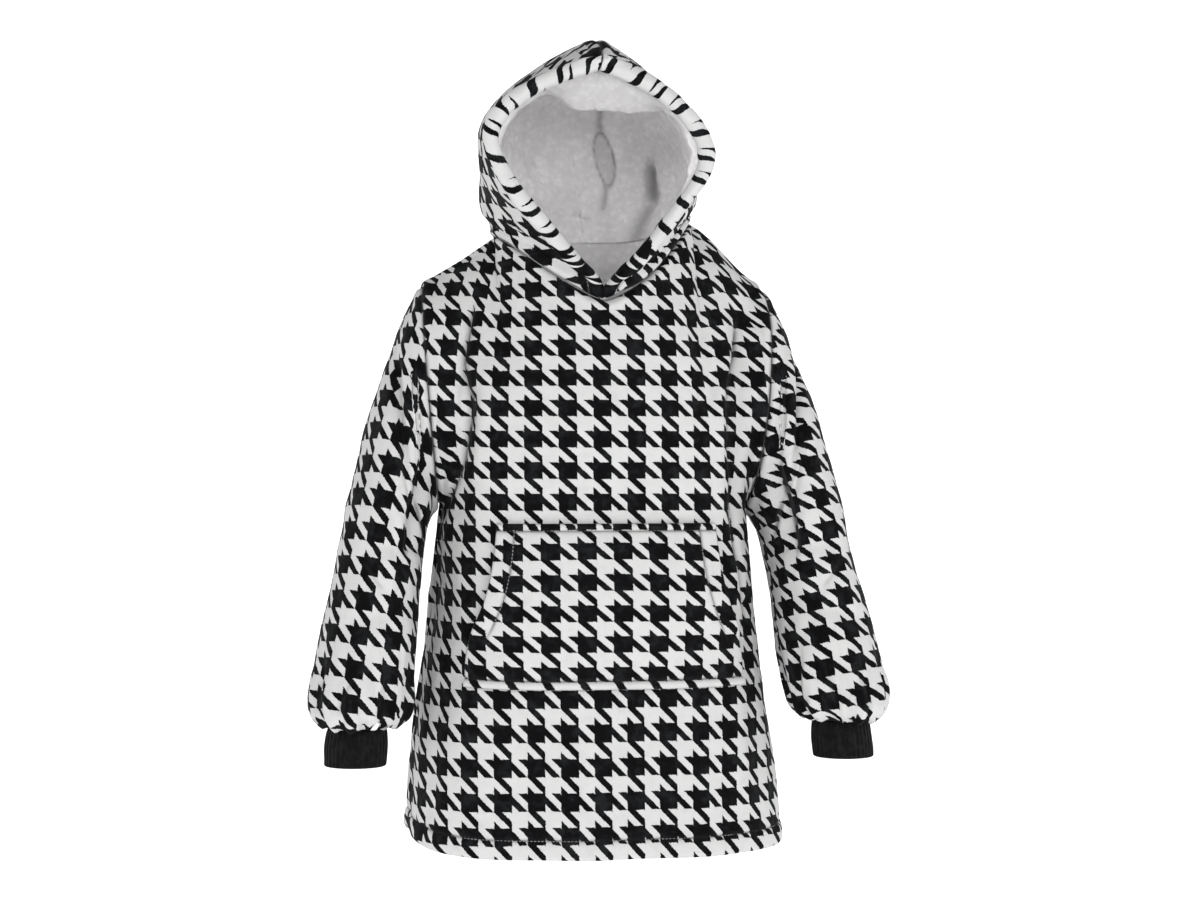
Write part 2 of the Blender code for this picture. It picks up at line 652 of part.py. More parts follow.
def hood_bottom(share):
    """The panels' neckline along one hood half: 0 at centre front, 1 at centre back."""
    corners, turn = neck_corners()
    return np.stack([np.interp(share * 180.0, turn, corners[:, axis]) for axis in range(3)], -1)


def hood_rows(rows):
    """Fine rows of the left hood half, from the face edge to the crown seam."""
    face = np.array(FACE_EDGE)
    seam = np.array([(0.0, point.y, point.z) for point in CROWN_SEAM])
    up = np.linspace(0.0, 1.0, rows)
    starts = curve_through(even_knots(face), face, up)[:, None, :]
    ends = curve_through(even_knots(seam), seam, up)[:, None, :]
    length = np.linalg.norm(ends - starts, axis=2, keepdims=True)
    form = curve_through([row.up for row in HOOD_FORM], [row[1:] for row in HOOD_FORM], up)
    backward = smooth_step(up / NECK_STRAIGHTENS)
    leave = np.stack([form[:, 0], 0.15 + 0.85 * backward, 0.2 * (1.0 - backward)], axis=-1)
    leave = leave[:, None, :] * length * FACE_PULL
    arrive = np.array([-1.0, 0.0, 0.0]) * length * form[:, None, 1:2]
    t = np.linspace(0.0, 1.0, FINE_POINTS)
    plain = hermite(starts, ends, leave, arrive, t[None, :, None])
    neck = hood_bottom(t)
    fade = (1.0 - up[:, None, None]) ** NECK_BLEND_POWER
    top = smooth_step((up - NECK_BLEND_TOP) / (1.0 - NECK_BLEND_TOP))
    fade = fade * (1.0 - top)[:, None, None]
    return plain + (neck - plain[0])[None] * fade


def spaced(rows, distances):
    """Each fine row read at given distances from its start, held to its length."""
    out = np.empty((len(rows), distances.shape[1], 3))
    for index, row in enumerate(rows):
        steps = np.linalg.norm(np.diff(row, axis=0), axis=1)
        reach = np.concatenate([[0.0], np.cumsum(steps)])
        for axis in range(3):
            out[index, :, axis] = np.interp(distances[index], reach, row[:, axis])
    return out


def row_lengths(rows):
    """The length of each row of points."""
    return np.linalg.norm(np.diff(rows, axis=1), axis=2).sum(axis=1)


def hood_grid():
    """A grid on the hood half with each column's distance behind the face edge.

    Behind the roll its columns start at the neckline's corners, so that the hood
    meets the panels corner to corner.
    """
    fine = hood_rows(HOOD_ROWS)
    length = np.maximum(row_lengths(fine), 1e-9)[:, None]
    shares = even_knots(neck_corners()[0])[1:]
    reach = shares[0] * length[0, 0]
    rim = np.linspace(0.0, reach, RIM_COLUMNS + 1)[None, :-1]
    rest = reach + (length - reach) * (shares - shares[0]) / (1.0 - shares[0])
    rest = np.where(length > reach, rest, length)
    away = np.concatenate([np.broadcast_to(rim, (HOOD_ROWS, RIM_COLUMNS)), rest], axis=1)
    away = np.minimum(away, length)
    return spaced(fine, away), away


def hood_normals(grid):
    """Outward normals of the left hood half, flat across the crown and neck seams."""
    normals = grid_normals(grid, wrap=False)
    normals[-1] = PEAK_NORMAL
    normals[:, -1] = without(normals[:, -1], 0)
    normals[0] = without(normals[0], 2)
    return normals


def rim_half_thickness(away):
    """Half the hood wall's thickness: a rounded roll at the face edge, then the wall."""
    inside = np.maximum(RIM_RADIUS**2 - (away - RIM_RADIUS) ** 2, 0.0)
    return np.maximum(np.sqrt(inside), np.where(away < RIM_RADIUS, RIM_NOSE, HOOD_WALL) / 2)


def hood_wall(name, hand, outer, inner, finish):
    """A wall of one hood half, held off the centre seam and the neckline."""
    walls = []
    for grid in (outer, inner):
        placed = grid + np.array([0.0, 0.0, 2 * SEAM_GAP])
        placed[..., 0] = np.maximum(placed[..., 0], 0.0) + SEAM_GAP / 2
        walls.append(placed * np.array([hand, 1.0, 1.0]))
    return wall_object(name, walls[0], walls[1], False, finish)


def hood_half(name, hand):
    """One half of the hood's outer cloth, with its rolled face edge."""
    middle, away = hood_grid()
    normals = hood_normals(middle)
    half = rim_half_thickness(away)[..., None]
    return hood_wall(name, hand, middle + normals * half, middle - normals * half, FLEECE)


def hood_lining(name, hand):
    """One half of the hood's lining, inside the outer cloth and behind the roll."""
    middle, _ = hood_grid()
    normals = hood_normals(middle)[:, RIM_COLUMNS:]
    middle = middle[:, RIM_COLUMNS:]
    outer = middle - normals * (HOOD_WALL / 2 + LINING_GAP)
    inner = outer - normals * LINING_WALL
    return hood_wall(name, hand, outer, inner, SHERPA)


def clear_scene():
    """Removes every object."""
    for old in list(bpy.data.objects):
        bpy.data.objects.remove(old, do_unlink=True)


def build():
    """Makes every piece of the hoodie."""
    body_panel("front_panel", FRONT, FRONT_COLUMNS, FRONT_ROWS)
    body_panel("back_panel", BACK, BACK_COLUMNS, BACK_ROWS)
    pocket()
    for word, hand in (("left", LEFT), ("right", RIGHT)):
        sleeve("sleeve_" + word, hand)
        cuff("cuff_" + word, hand)
        hood_half("hood_" + word, hand)
        hood_lining("hood_lining_" + word, hand)


clear_scene()
build()
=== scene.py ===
"""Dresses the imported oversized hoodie: houndstooth fleece, sherpa, rib cuffs and stitching.

Metres, +Z up. The front faces -Y and +X is the wearer's left, as in the frame. Every
cloth piece is a thin closed wall on its solid's form, worked out from the same section
tables as the solids and then given its folds, seams and pile.
"""

import sys
import logging
import math
from dataclasses import dataclass
from enum import Enum
from typing import NamedTuple, Sequence

import bmesh
import bpy
import numpy as np
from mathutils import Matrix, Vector


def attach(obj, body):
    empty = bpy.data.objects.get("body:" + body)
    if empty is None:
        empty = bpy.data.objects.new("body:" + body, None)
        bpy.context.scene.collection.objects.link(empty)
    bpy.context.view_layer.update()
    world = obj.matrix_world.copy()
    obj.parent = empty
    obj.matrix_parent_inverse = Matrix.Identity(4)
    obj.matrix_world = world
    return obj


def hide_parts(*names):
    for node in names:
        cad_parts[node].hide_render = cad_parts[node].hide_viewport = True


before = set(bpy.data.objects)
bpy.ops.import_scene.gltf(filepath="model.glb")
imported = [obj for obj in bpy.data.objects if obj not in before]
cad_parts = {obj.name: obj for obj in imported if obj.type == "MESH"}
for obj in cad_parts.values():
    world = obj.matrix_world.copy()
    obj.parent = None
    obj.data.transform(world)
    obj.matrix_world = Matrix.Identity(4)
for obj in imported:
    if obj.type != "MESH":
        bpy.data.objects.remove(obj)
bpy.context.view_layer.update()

LOG = logging.getLogger("hoodie")


class Side(Enum):
    """A body panel, by the way it faces along Y."""

    FRONT = -1
    BACK = 1


class Hand(Enum):
    """The wearer's left or right, by its sign along X."""

    LEFT = 1
    RIGHT = -1

    @property
    def word(self) -> str:
        """The hand's name in small letters."""
        return self.name.lower()

    @property
    def mirror(self) -> np.ndarray:
        """What turns the left piece's points into this hand's."""
        return np.array([self.value, 1.0, 1.0])


class Slot(Enum):
    """The record's material slots."""

    FLEECE = "fleece"
    SHERPA = "sherpa"
    RIB_KNIT = "rib_knit"


class BodySection(NamedTuple):
    """A level section of the body."""

    z: float
    half_width: float
    front_depth: float
    back_depth: float


class SleeveRing(NamedTuple):
    """A ring of the left sleeve, from its outermost to its innermost point."""

    outer_x: float
    outer_z: float
    inner_x: float
    inner_z: float
    middle_y: float
    half_depth: float


class HoodForm(NamedTuple):
    """How far a row of the hood flares, and how broadly it rounds into the crown seam."""

    up: float
    flare: float
    seam_pull: float


class BodyFold(NamedTuple):
    """A soft trough on a panel along a line in x and z; a depth below 0 is a ridge."""

    side: Side
    x0: float
    z0: float
    x1: float
    z1: float
    half_breadth: float
    depth: float


class Pleat(NamedTuple):
    """A sharp crease down a panel, with how much print it swallows."""

    side: Side
    x: tuple
    z: tuple
    swallow: float
    depth: float


class SleeveFold(NamedTuple):
    """A soft trough on a sleeve, by degrees round from the outside and share down."""

    turn0: float
    down0: float
    turn1: float
    down1: float
    half_breadth: float
    depth: float


class LiningFold(NamedTuple):
    """A trough in the hood's lining along a line in x and z; deep ones lie at its back, and its shade is how much
    painted shade it gets.
    """

    start: tuple
    end: tuple
    half_breadth: float
    depth: float
    deep: bool
    shade: float


BODY_WALL = 0.0050
HOOD_WALL = 0.0035
LINING_WALL = 0.0050
POCKET_WALL = 0.0040
CUFF_WALL = 0.0030

HEM_Z = -0.776
HEM_SIDE_RISE = {Hand.LEFT: 0.010, Hand.RIGHT: 0.030}
UNDERARM_Z = -0.335
UNDERARM_SHARE = 0.56
SIDE_SQUARENESS = 3.0
TYPICAL_SLIMNESS = 0.62
NECK_HALF_WIDTH = 0.128
NECK_POINT_Y = 0.004
NECK_POINT_Z = 0.009
NECK_SHARE = 0.5
NECK_CENTRE = {Side.FRONT: (-0.112, -0.077, 1.35), Side.BACK: (0.086, 0.016, 2.0)}
SHOULDER_TIP_X = 0.222
SHOULDER_TIP_Z = -0.055
SHOULDER_ROLL = 0.15
SHOULDER_RISE = 0.05
SIDE_PULL = 1.05
NECK_PULL = 0.8
NECK_LEAN = 0.30
ROLL_START = 0.12
ROLL_END = 0.55
TANGENT_STEP = 0.02
ARMHOLE_FADE_POWER = 4
CHEST_FULLNESS = {Side.FRONT: 0.020, Side.BACK: 0.012}
HEM_RISE_POWER = 3
FLUTE_COUNT = 7
FLUTE_DEPTH = 0.0035
FLUTE_TOP_Z = -0.50
FLUTE_SPAN = 0.246
FLUTE_PHASE = 0.6

CROWN_LEAN = -0.012
CROWN_LEAN_Z = 0.180
CROWN_LEAN_REACH = 0.055
SHOULDER_LIFT = 0.024
SHOULDER_LIFT_X = 0.138
SHOULDER_LIFT_REACH_X = 0.055
SHOULDER_LIFT_Z = 0.0
SHOULDER_LIFT_REACH_Z = 0.080

BODY_SECTIONS = (
    BodySection(-0.776, 0.243, 0.142, 0.124),
    BodySection(-0.700, 0.238, 0.140, 0.122),
    BodySection(-0.617, 0.230, 0.137, 0.119),
    BodySection(-0.540, 0.219, 0.135, 0.117),
    BodySection(-0.470, 0.210, 0.134, 0.116),
    BodySection(-0.400, 0.202, 0.134, 0.117),
    BodySection(-0.335, 0.197, 0.134, 0.119),
)
SLEEVE_RINGS = (
    SleeveRing(0.222, -0.055, 0.197, -0.335, 0.000, 0.082),
    SleeveRing(0.246, -0.100, 0.204, -0.347, -0.003, 0.087),
    SleeveRing(0.269, -0.160, 0.210, -0.357, -0.010, 0.089),
    SleeveRing(0.285, -0.205, 0.215, -0.368, -0.017, 0.087),
    SleeveRing(0.300, -0.260, 0.219, -0.383, -0.026, 0.084),
    SleeveRing(0.319, -0.335, 0.223, -0.408, -0.038, 0.081),
    SleeveRing(0.336, -0.420, 0.227, -0.452, -0.052, 0.077),
    SleeveRing(0.350, -0.480, 0.230, -0.496, -0.062, 0.075),
    SleeveRing(0.360, -0.535, 0.235, -0.542, -0.072, 0.074),
    SleeveRing(0.368, -0.575, 0.241, -0.578, -0.080, 0.072),
    SleeveRing(0.365, -0.596, 0.248, -0.597, -0.085, 0.066),
    SleeveRing(0.3530, -0.608, 0.264, -0.608, -0.089, 0.050),
    SleeveRing(0.3460, -0.612, 0.2720, -0.612, -0.090, 0.0370),
)
SLEEVE_SQUARENESS = 2.15
ARMHOLE_BULGE = 0.009
ARMHOLE_BULGE_REACH = 0.2
GATHER_COUNT = 12
GATHER_DEPTH = 0.0035
GATHER_START = 0.72
GATHER_FULL = 0.97
GATHER_FADE = 0.985

FACE_EDGE = (
    (0.000, -0.115, -0.0765),
    (0.004, -0.121, -0.057),
    (0.030, -0.127, -0.032),
    (0.060, -0.132, -0.001),
    (0.086, -0.136, 0.027),
    (0.109, -0.139, 0.055),
    (0.122, -0.142, 0.086),
    (0.123, -0.144, 0.116),
    (0.110, -0.145, 0.149),
    (0.084, -0.144, 0.177),
    (0.049, -0.142, 0.198),
    (0.018, -0.140, 0.209),
    (0.000, -0.139, 0.212),
)
HOOD_FORM = (
    HoodForm(0.00, 1.40, 1.55),
    HoodForm(0.18, 1.05, 1.48),
    HoodForm(0.32, 0.68, 1.38),
    HoodForm(0.48, 0.42, 1.25),
    HoodForm(0.65, 0.23, 0.90),
    HoodForm(0.82, 0.10, 0.60),
    HoodForm(1.00, 0.05, 0.50),
)
CROWN_SEAM = (
    (0.086, 0.016),
    (0.112, 0.050),
    (0.134, 0.095),
    (0.143, 0.145),
    (0.130, 0.195),
    (0.092, 0.234),
    (0.038, 0.254),
    (-0.020, 0.260),
    (-0.070, 0.253),
    (-0.110, 0.235),
    (-0.139, 0.212),
)
RIM_RADIUS = 0.0106
REST_PER_RIM = 8.0
DARK_SHARE = 0.535
RIM_NOSE = 0.0030
FACE_PULL = 1.15
NECK_STRAIGHTENS = 0.22
NECK_BLEND_TOP = 0.6
NECK_BLEND_POWER = 3.0
PEAK_NORMAL = (0.0, -0.62, 0.78)
LINING_GAP = 0.0006

POCKET_ROWS = (
    (-0.564, 0.176),
    (-0.510, 0.170),
    (-0.482, 0.158),
    (-0.446, 0.146),
    (-0.405, 0.139),
    (-0.358, 0.136),
)
POCKET_LIFT = 0.0008
POCKET_FULLNESS = 0.0130
POCKET_FULL_POWER = 0.7
POCKET_SEWN_TOP = -0.485
POCKET_SEWN_FADE = 0.03
POCKET_SIDE_POWER = 6

BODY_FOLDS = (
    BodyFold(Side.FRONT, -0.160, -0.105, -0.188, -0.370, 0.016, 0.011),
    BodyFold(Side.FRONT, 0.184, -0.095, 0.168, -0.390, 0.016, 0.011),
    BodyFold(Side.FRONT, -0.195, -0.400, -0.205, -0.600, 0.018, 0.006),
    BodyFold(Side.FRONT, 0.188, -0.470, 0.212, -0.720, 0.018, 0.006),
    BodyFold(Side.BACK, -0.165, -0.110, -0.172, -0.400, 0.018, 0.010),
    BodyFold(Side.BACK, 0.160, -0.120, 0.178, -0.430, 0.018, 0.010),
    BodyFold(Side.BACK, -0.060, -0.300, -0.090, -0.640, 0.024, 0.006),
    BodyFold(Side.BACK, 0.075, -0.350, 0.100, -0.700, 0.024, 0.006),
)
# Smaller creases that only the dressed cloth has
BODY_CREASES = (
    BodyFold(Side.FRONT, -0.168, -0.130, -0.192, -0.300, 0.006, 0.003),
    BodyFold(Side.FRONT, 0.180, -0.150, 0.172, -0.340, 0.006, 0.003),
    BodyFold(Side.FRONT, -0.100, -0.085, -0.135, -0.190, 0.012, 0.002),
    BodyFold(Side.FRONT, 0.110, -0.075, 0.140, -0.200, 0.012, 0.002),
    BodyFold(Side.FRONT, -0.205, -0.560, -0.222, -0.740, 0.010, 0.004),
    BodyFold(Side.FRONT, 0.222, -0.580, 0.228, -0.745, 0.010, 0.004),
    BodyFold(Side.FRONT, -0.080, -0.590, -0.092, -0.745, 0.020, 0.003),
    BodyFold(Side.FRONT, 0.060, -0.600, 0.074, -0.748, 0.020, 0.003),
    BodyFold(Side.FRONT, 0.140, -0.590, 0.150, -0.748, 0.018, 0.003),
    BodyFold(Side.BACK, -0.120, -0.060, -0.150, -0.220, 0.014, 0.003),
    BodyFold(Side.BACK, 0.110, -0.060, 0.150, -0.230, 0.014, 0.003),
    BodyFold(Side.BACK, -0.170, -0.480, -0.200, -0.740, 0.014, 0.004),
    BodyFold(Side.BACK, 0.010, -0.420, 0.000, -0.750, 0.024, 0.004),
    BodyFold(Side.BACK, 0.180, -0.500, 0.200, -0.740, 0.014, 0.004),
)
PLEATS = (
    Pleat(
        Side.FRONT,
        (-0.210, -0.201, -0.176, -0.164, -0.171, -0.164, -0.158),
        (-0.403, -0.361, -0.285, -0.209, -0.157, -0.106, -0.070),
        0.013,
        0.007,
    ),
    Pleat(
        Side.FRONT,
        (0.192, 0.179, 0.170, 0.166, 0.161, 0.176, 0.182),
        (-0.497, -0.423, -0.380, -0.335, -0.205, -0.147, -0.090),
        -0.011,
        0.006,
    ),
    Pleat(Side.BACK, (-0.190, -0.176, -0.168, -0.160), (-0.430, -0.320, -0.220, -0.100), -0.011, 0.006),
    Pleat(Side.BACK, (0.196, 0.180, 0.166, 0.158), (-0.450, -0.330, -0.210, -0.105), 0.011, 0.006),
)
PLEAT_BREADTH = 0.0050
PLEAT_RIDGE = 0.0130
SLEEVE_FOLDS = (
    SleeveFold(20, 0.16, 95, 0.26, 0.013, 0.008),
    SleeveFold(118, 0.10, 125, 0.46, 0.016, 0.013),
    SleeveFold(150, 0.45, 60, 0.58, 0.016, 0.005),
    SleeveFold(145, 0.66, 50, 0.76, 0.015, 0.005),
    SleeveFold(235, 0.10, 240, 0.48, 0.018, 0.009),
    SleeveFold(330, 0.20, 262, 0.30, 0.014, 0.007),
    SleeveFold(220, 0.55, 300, 0.68, 0.017, 0.005),
)
SLEEVE_CREASES = (
    SleeveFold(30, 0.18, 92, 0.25, 0.005, 0.003),
    SleeveFold(114, 0.12, 122, 0.52, 0.007, 0.006),
    SleeveFold(62, 0.06, 104, 0.15, 0.007, 0.003),
    SleeveFold(78, 0.27, 112, 0.34, 0.008, 0.003),
    SleeveFold(126, 0.24, 152, 0.38, 0.008, 0.004),
    SleeveFold(60, 0.60, 96, 0.66, 0.009, 0.003),
    SleeveFold(70, 0.40, 100, 0.48, 0.010, 0.002),
    SleeveFold(75, 0.86, 60, 0.95, 0.007, 0.003),
    SleeveFold(110, 0.84, 104, 0.95, 0.007, 0.003),
    SleeveFold(30, 0.86, 22, 0.95, 0.007, 0.003),
    SleeveFold(250, 0.84, 255, 0.95, 0.007, 0.003),
    SleeveFold(300, 0.86, 306, 0.95, 0.007, 0.003),
    SleeveFold(200, 0.30, 260, 0.40, 0.012, 0.003),
)
TURN_LENGTH = 0.075
SLEEVE_LENGTH = 0.58
FOLD_END_FADE = 2.2
FULL_TURN = 360.0
FINE_POINTS = 241
SECTION_POINTS = 400


def smooth_step(value: np.ndarray) -> np.ndarray:
    """0 below 0, 1 above 1, and a soft rise between."""
    held = np.clip(value, 0.0, 1.0)
    return held * held * (3.0 - 2.0 * held)


def bell(distance: np.ndarray, reach: float) -> np.ndarray:
    """1 at no distance, falling softly over the reach."""
    return np.exp(-((distance / reach) ** 2))


def hermite(
    start: np.ndarray, end: np.ndarray, leave: np.ndarray, arrive: np.ndarray, t: np.ndarray
) -> np.ndarray:
    """Points of a cubic.

    Args:
        start: Where it starts.
        end: Where it ends.
        leave: Its tangent at the start.
        arrive: Its tangent at the end.
        t: Shares of the way along it.

    Returns:
        The points at t.
    """
    t2 = t * t
    t3 = t2 * t
    return (
        (2 * t3 - 3 * t2 + 1) * start
        + (t3 - 2 * t2 + t) * leave
        + (3 * t2 - 2 * t3) * end
        + (t3 - t2) * arrive
    )


def curve_through(knots: Sequence[float], values: Sequence, at: np.ndarray) -> np.ndarray:
    """A smooth curve through table rows.

    Args:
        knots: Where each row stands, rising.
        values: The rows.
        at: Where to read the curve.

    Returns:
        The row's values at each place.
    """
    knots = np.asarray(knots, float)
    values = np.asarray(values, float)
    slopes = np.gradient(values, knots, axis=0)
    at = np.clip(np.asarray(at, float), knots[0], knots[-1])
    low = np.clip(np.searchsorted(knots, at, side="right") - 1, 0, len(knots) - 2)
    width = (knots[low + 1] - knots[low])[..., None]
    t = (at[..., None] - knots[low][..., None]) / width
    return hermite(values[low], values[low + 1], slopes[low] * width, slopes[low + 1] * width, t)


def even_knots(points: np.ndarray) -> np.ndarray:
    """The share of its length at which a run of points reaches each point."""
    steps = np.linalg.norm(np.diff(points, axis=0), axis=1)
    lengths = np.concatenate([[0.0], np.cumsum(steps)])
    return lengths / lengths[-1]


def trough(
    start: Sequence[float], end: Sequence[float], at: np.ndarray, half_breadth: float, depth: float
) -> np.ndarray:
    """How deep a soft trough is at each point.

    Args:
        start: One end of the trough's line.
        end: The other end.
        at: The points, two numbers each.
        half_breadth: How far from the line it fades.
        depth: Its depth on the line.

    Returns:
        The depth at each point.
    """
    origin = np.asarray(start, float)
    run = np.asarray(end, float) - origin
    share = ((at - origin) @ run) / (run @ run)
    held = np.clip(share, 0.0, 1.0)
    away = np.linalg.norm(at - origin - held[..., None] * run, axis=-1)
    fade = smooth_step(0.5 + FOLD_END_FADE * (0.5 - np.abs(held - 0.5)))
    return depth * fade * bell(away, half_breadth)


def grid_normals(grid: np.ndarray, closed: bool = False) -> np.ndarray:
    """Unit normals of a grid of points; on a closed grid the last column is the first again."""
    down = np.gradient(grid, axis=0)
    along = np.gradient(grid, axis=1)
    if closed:
        seam = (grid[:, 1] - grid[:, -2]) / 2
        along[:, 0] = seam
        along[:, -1] = seam
    normals = np.cross(along, down)
    return normals / np.maximum(np.linalg.norm(normals, axis=2, keepdims=True), 1e-12)


def without(normals: np.ndarray, axis: int) -> np.ndarray:
    """Normals laid into the plane across an axis."""
    flat = normals.copy()
    flat[..., axis] = 0.0
    return flat / np.maximum(np.linalg.norm(flat, axis=-1, keepdims=True), 1e-9)


def soft_noise(u: np.ndarray, v: np.ndarray, cell: float, seed: int, around: int = 0) -> np.ndarray:
    """Smooth seeded noise from -1 to 1.

    Args:
        u: First coordinate in metres; with around, shares of a turn.
        v: Second coordinate in metres.
        cell: The size of its lumps.
        seed: What picks the lumps.
        around: How many lumps go round a tube, or 0 on an open piece.

    Returns:
        The noise at each point.
    """
    lattice = np.random.default_rng(seed).uniform(-1.0, 1.0, (97, 89))
    x = u * around if around else u / cell + 40.0
    y = v / cell + 40.0
    i = np.floor(x).astype(int)
    j = np.floor(y).astype(int)
    fx = smooth_step(x - i)
    fy = smooth_step(y - j)
    span = around if around else 97
    near = lattice[i % span, j % 89] * (1 - fx) + lattice[(i + 1) % span, j % 89] * fx
    far = lattice[i % span, (j + 1) % 89] * (1 - fx) + lattice[(i + 1) % span, (j + 1) % 89] * fx
    return near * (1 - fy) + far * fy


def lengths_along(points: np.ndarray, axis: int) -> np.ndarray:
    """The distance walked along a grid's axis up to each point."""
    steps = np.linalg.norm(np.diff(points, axis=axis), axis=2)
    pad = [(0, 0), (0, 0)]
    pad[axis] = (1, 0)
    return np.cumsum(np.pad(steps, pad), axis=axis)


def across_grain(points: np.ndarray, along: np.ndarray) -> np.ndarray:
    """The print's coordinate across the grain, from that along it, over rows of points."""
    steps = np.linalg.norm(np.diff(points, axis=1), axis=2)
    rise = np.diff(along, axis=1)
    level = np.sqrt(np.maximum(steps**2 - rise**2, (0.2 * steps) ** 2))
    return np.cumsum(np.pad(level, [(0, 0), (1, 0)]), axis=1)


def laid_flat(points: np.ndarray, flat: np.ndarray, rounds: int) -> np.ndarray:
    """Lays a curved grid of cloth out flat with the least stretch, as its cut piece was.

    Args:
        points: The grid.
        flat: A first guess of each point's place on the flat cloth.
        rounds: How many times every thread between neighbours is set to its length.

    Returns:
        Each point's place on the flat cloth.
    """
    all_but = (slice(None, -1), slice(1, None))
    threads = []
    for one, other in (
        ((slice(None), all_but[0]), (slice(None), all_but[1])),
        ((all_but[0], slice(None)), (all_but[1], slice(None))),
        ((all_but[0], all_but[0]), (all_but[1], all_but[1])),
        ((all_but[0], all_but[1]), (all_but[1], all_but[0])),
    ):
        threads.append((one, other, np.linalg.norm(points[other] - points[one], axis=2, keepdims=True)))
    flat = flat.copy()
    for _ in range(rounds):
        move = np.zeros_like(flat)
        for one, other, length in threads:
            gap = flat[other] - flat[one]
            now = np.maximum(np.linalg.norm(gap, axis=2, keepdims=True), 1e-9)
            pull = gap * (0.5 - 0.5 * length / now)
            move[one] += pull
            move[other] -= pull
        flat += move * 0.24
    return flat


def resampled(
    grid: np.ndarray, rows: np.ndarray, at_rows: np.ndarray, columns: np.ndarray, at_columns: np.ndarray
) -> np.ndarray:
    """A coarse grid's pairs of numbers read through smooth curves at finer rows and columns."""
    tall = curve_through(rows, grid.reshape(len(rows), -1), at_rows).reshape(len(at_rows), len(columns), 2)
    wide = curve_through(columns, np.swapaxes(tall, 0, 1).reshape(len(columns), -1), at_columns)
    return np.swapaxes(wide.reshape(len(at_columns), len(at_rows), 2), 0, 1)


def turned_onto(flat: np.ndarray, guide: np.ndarray, near: np.ndarray) -> np.ndarray:
    """A flat grid turned and moved onto a guide, by the points that count as near."""
    weight = near[..., None] / near.sum()
    here = (flat * weight).sum(axis=(0, 1))
    there = (guide * weight).sum(axis=(0, 1))
    old = flat - here
    new = guide - there
    dot = (old * new * weight).sum()
    cross = ((old[..., 0] * new[..., 1] - old[..., 1] * new[..., 0]) * weight[..., 0]).sum()
    angle = math.atan2(cross, dot)
    turned = np.stack(
        [
            old[..., 0] * math.cos(angle) - old[..., 1] * math.sin(angle),
            old[..., 0] * math.sin(angle) + old[..., 1] * math.cos(angle),
        ],
        -1,
    )
    return turned + there


def as_worn(points: np.ndarray) -> np.ndarray:
    """Points with the worn form's unevenness: the crown leans, one shoulder is higher."""
    x = points[..., 0]
    z = points[..., 2]
    worn = points.copy()
    worn[..., 0] += CROWN_LEAN * bell(z - CROWN_LEAN_Z, CROWN_LEAN_REACH)
    near = bell(x - SHOULDER_LIFT_X, SHOULDER_LIFT_REACH_X)
    worn[..., 2] += SHOULDER_LIFT * near * bell(z - SHOULDER_LIFT_Z, SHOULDER_LIFT_REACH_Z)
    return worn


def seam_valley(distance: np.ndarray) -> np.ndarray:
    """How far cloth dips at a sewn edge, with the slight swell behind it."""
    return 0.0034 * bell(distance, 0.0036) - 0.0016 * bell(distance - 0.0105, 0.0055)


def pleat_share(pleat: Pleat, x: np.ndarray, z: np.ndarray) -> tuple[np.ndarray, np.ndarray]:
    """How far each point is from a pleat towards +X, and how full the pleat is there."""
    away = x - np.interp(z, pleat.z, pleat.x)
    full = smooth_step((z - pleat.z[0]) / 0.05) * smooth_step((pleat.z[-1] - z) / 0.03)
    return away, full


def seam_shade_of(valley: np.ndarray) -> np.ndarray:
    """How much painted shade a seam's valley gets, 0 to 1."""
    return smooth_step((valley - 0.0012) / 0.0022)


class Graph:
    """Adds nodes to one tree and joins them."""

    def __init__(self, tree: bpy.types.NodeTree) -> None:
        """Takes the tree to build in."""
        self.tree = tree

    def add(self, kind: str, **settings: object) -> bpy.types.Node:
        """Adds a node of a kind with its settings."""
        node = self.tree.nodes.new(kind)
        for name, value in settings.items():
            setattr(node, name, value)
        return node

    def feed(self, socket: bpy.types.NodeSocket, value: object) -> None:
        """Joins a socket to another, or sets its value."""
        if isinstance(value, bpy.types.NodeSocket):
            self.tree.links.new(value, socket)
        else:
            socket.default_value = value

    def math(self, operation: str, a: object, b: object = 0.0, c: object = 0.0) -> bpy.types.NodeSocket:
        """The result of a Math node on up to three values."""
        node = self.add("ShaderNodeMath", operation=operation)
        for socket, value in zip(node.inputs, (a, b, c)):
            self.feed(socket, value)
        return node.outputs[0]

    def noise(self, vector: object, scale: float, detail: float = 2.0, roughness: float = 0.5) -> bpy.types.NodeSocket:
        """A noise texture's value."""
        node = self.add("ShaderNodeTexNoise")
        self.feed(node.inputs["Vector"], vector)
        node.inputs["Scale"].default_value = scale
        node.inputs["Detail"].default_value = detail
        node.inputs["Roughness"].default_value = roughness
        return node.outputs["Fac"]

    def spread(self, value: object, low: float, high: float, to_low: float = 0.0, to_high: float = 1.0) -> bpy.types.NodeSocket:
        """A value moved softly from one range to another, and held there."""
        node = self.add("ShaderNodeMapRange", interpolation_type="SMOOTHSTEP", clamp=True)
        for socket, number in zip(node.inputs, (value, low, high, to_low, to_high)):
            self.feed(socket, number)
        return node.outputs[0]

    def blend(self, share: object, first: object, second: object) -> bpy.types.NodeSocket:
        """A colour between two, by a share."""
        node = self.add("ShaderNodeMix", data_type="RGBA")
        self.feed(node.inputs["Factor"], share)
        self.feed(node.inputs[6], first)
        self.feed(node.inputs[7], second)
        return node.outputs[2]


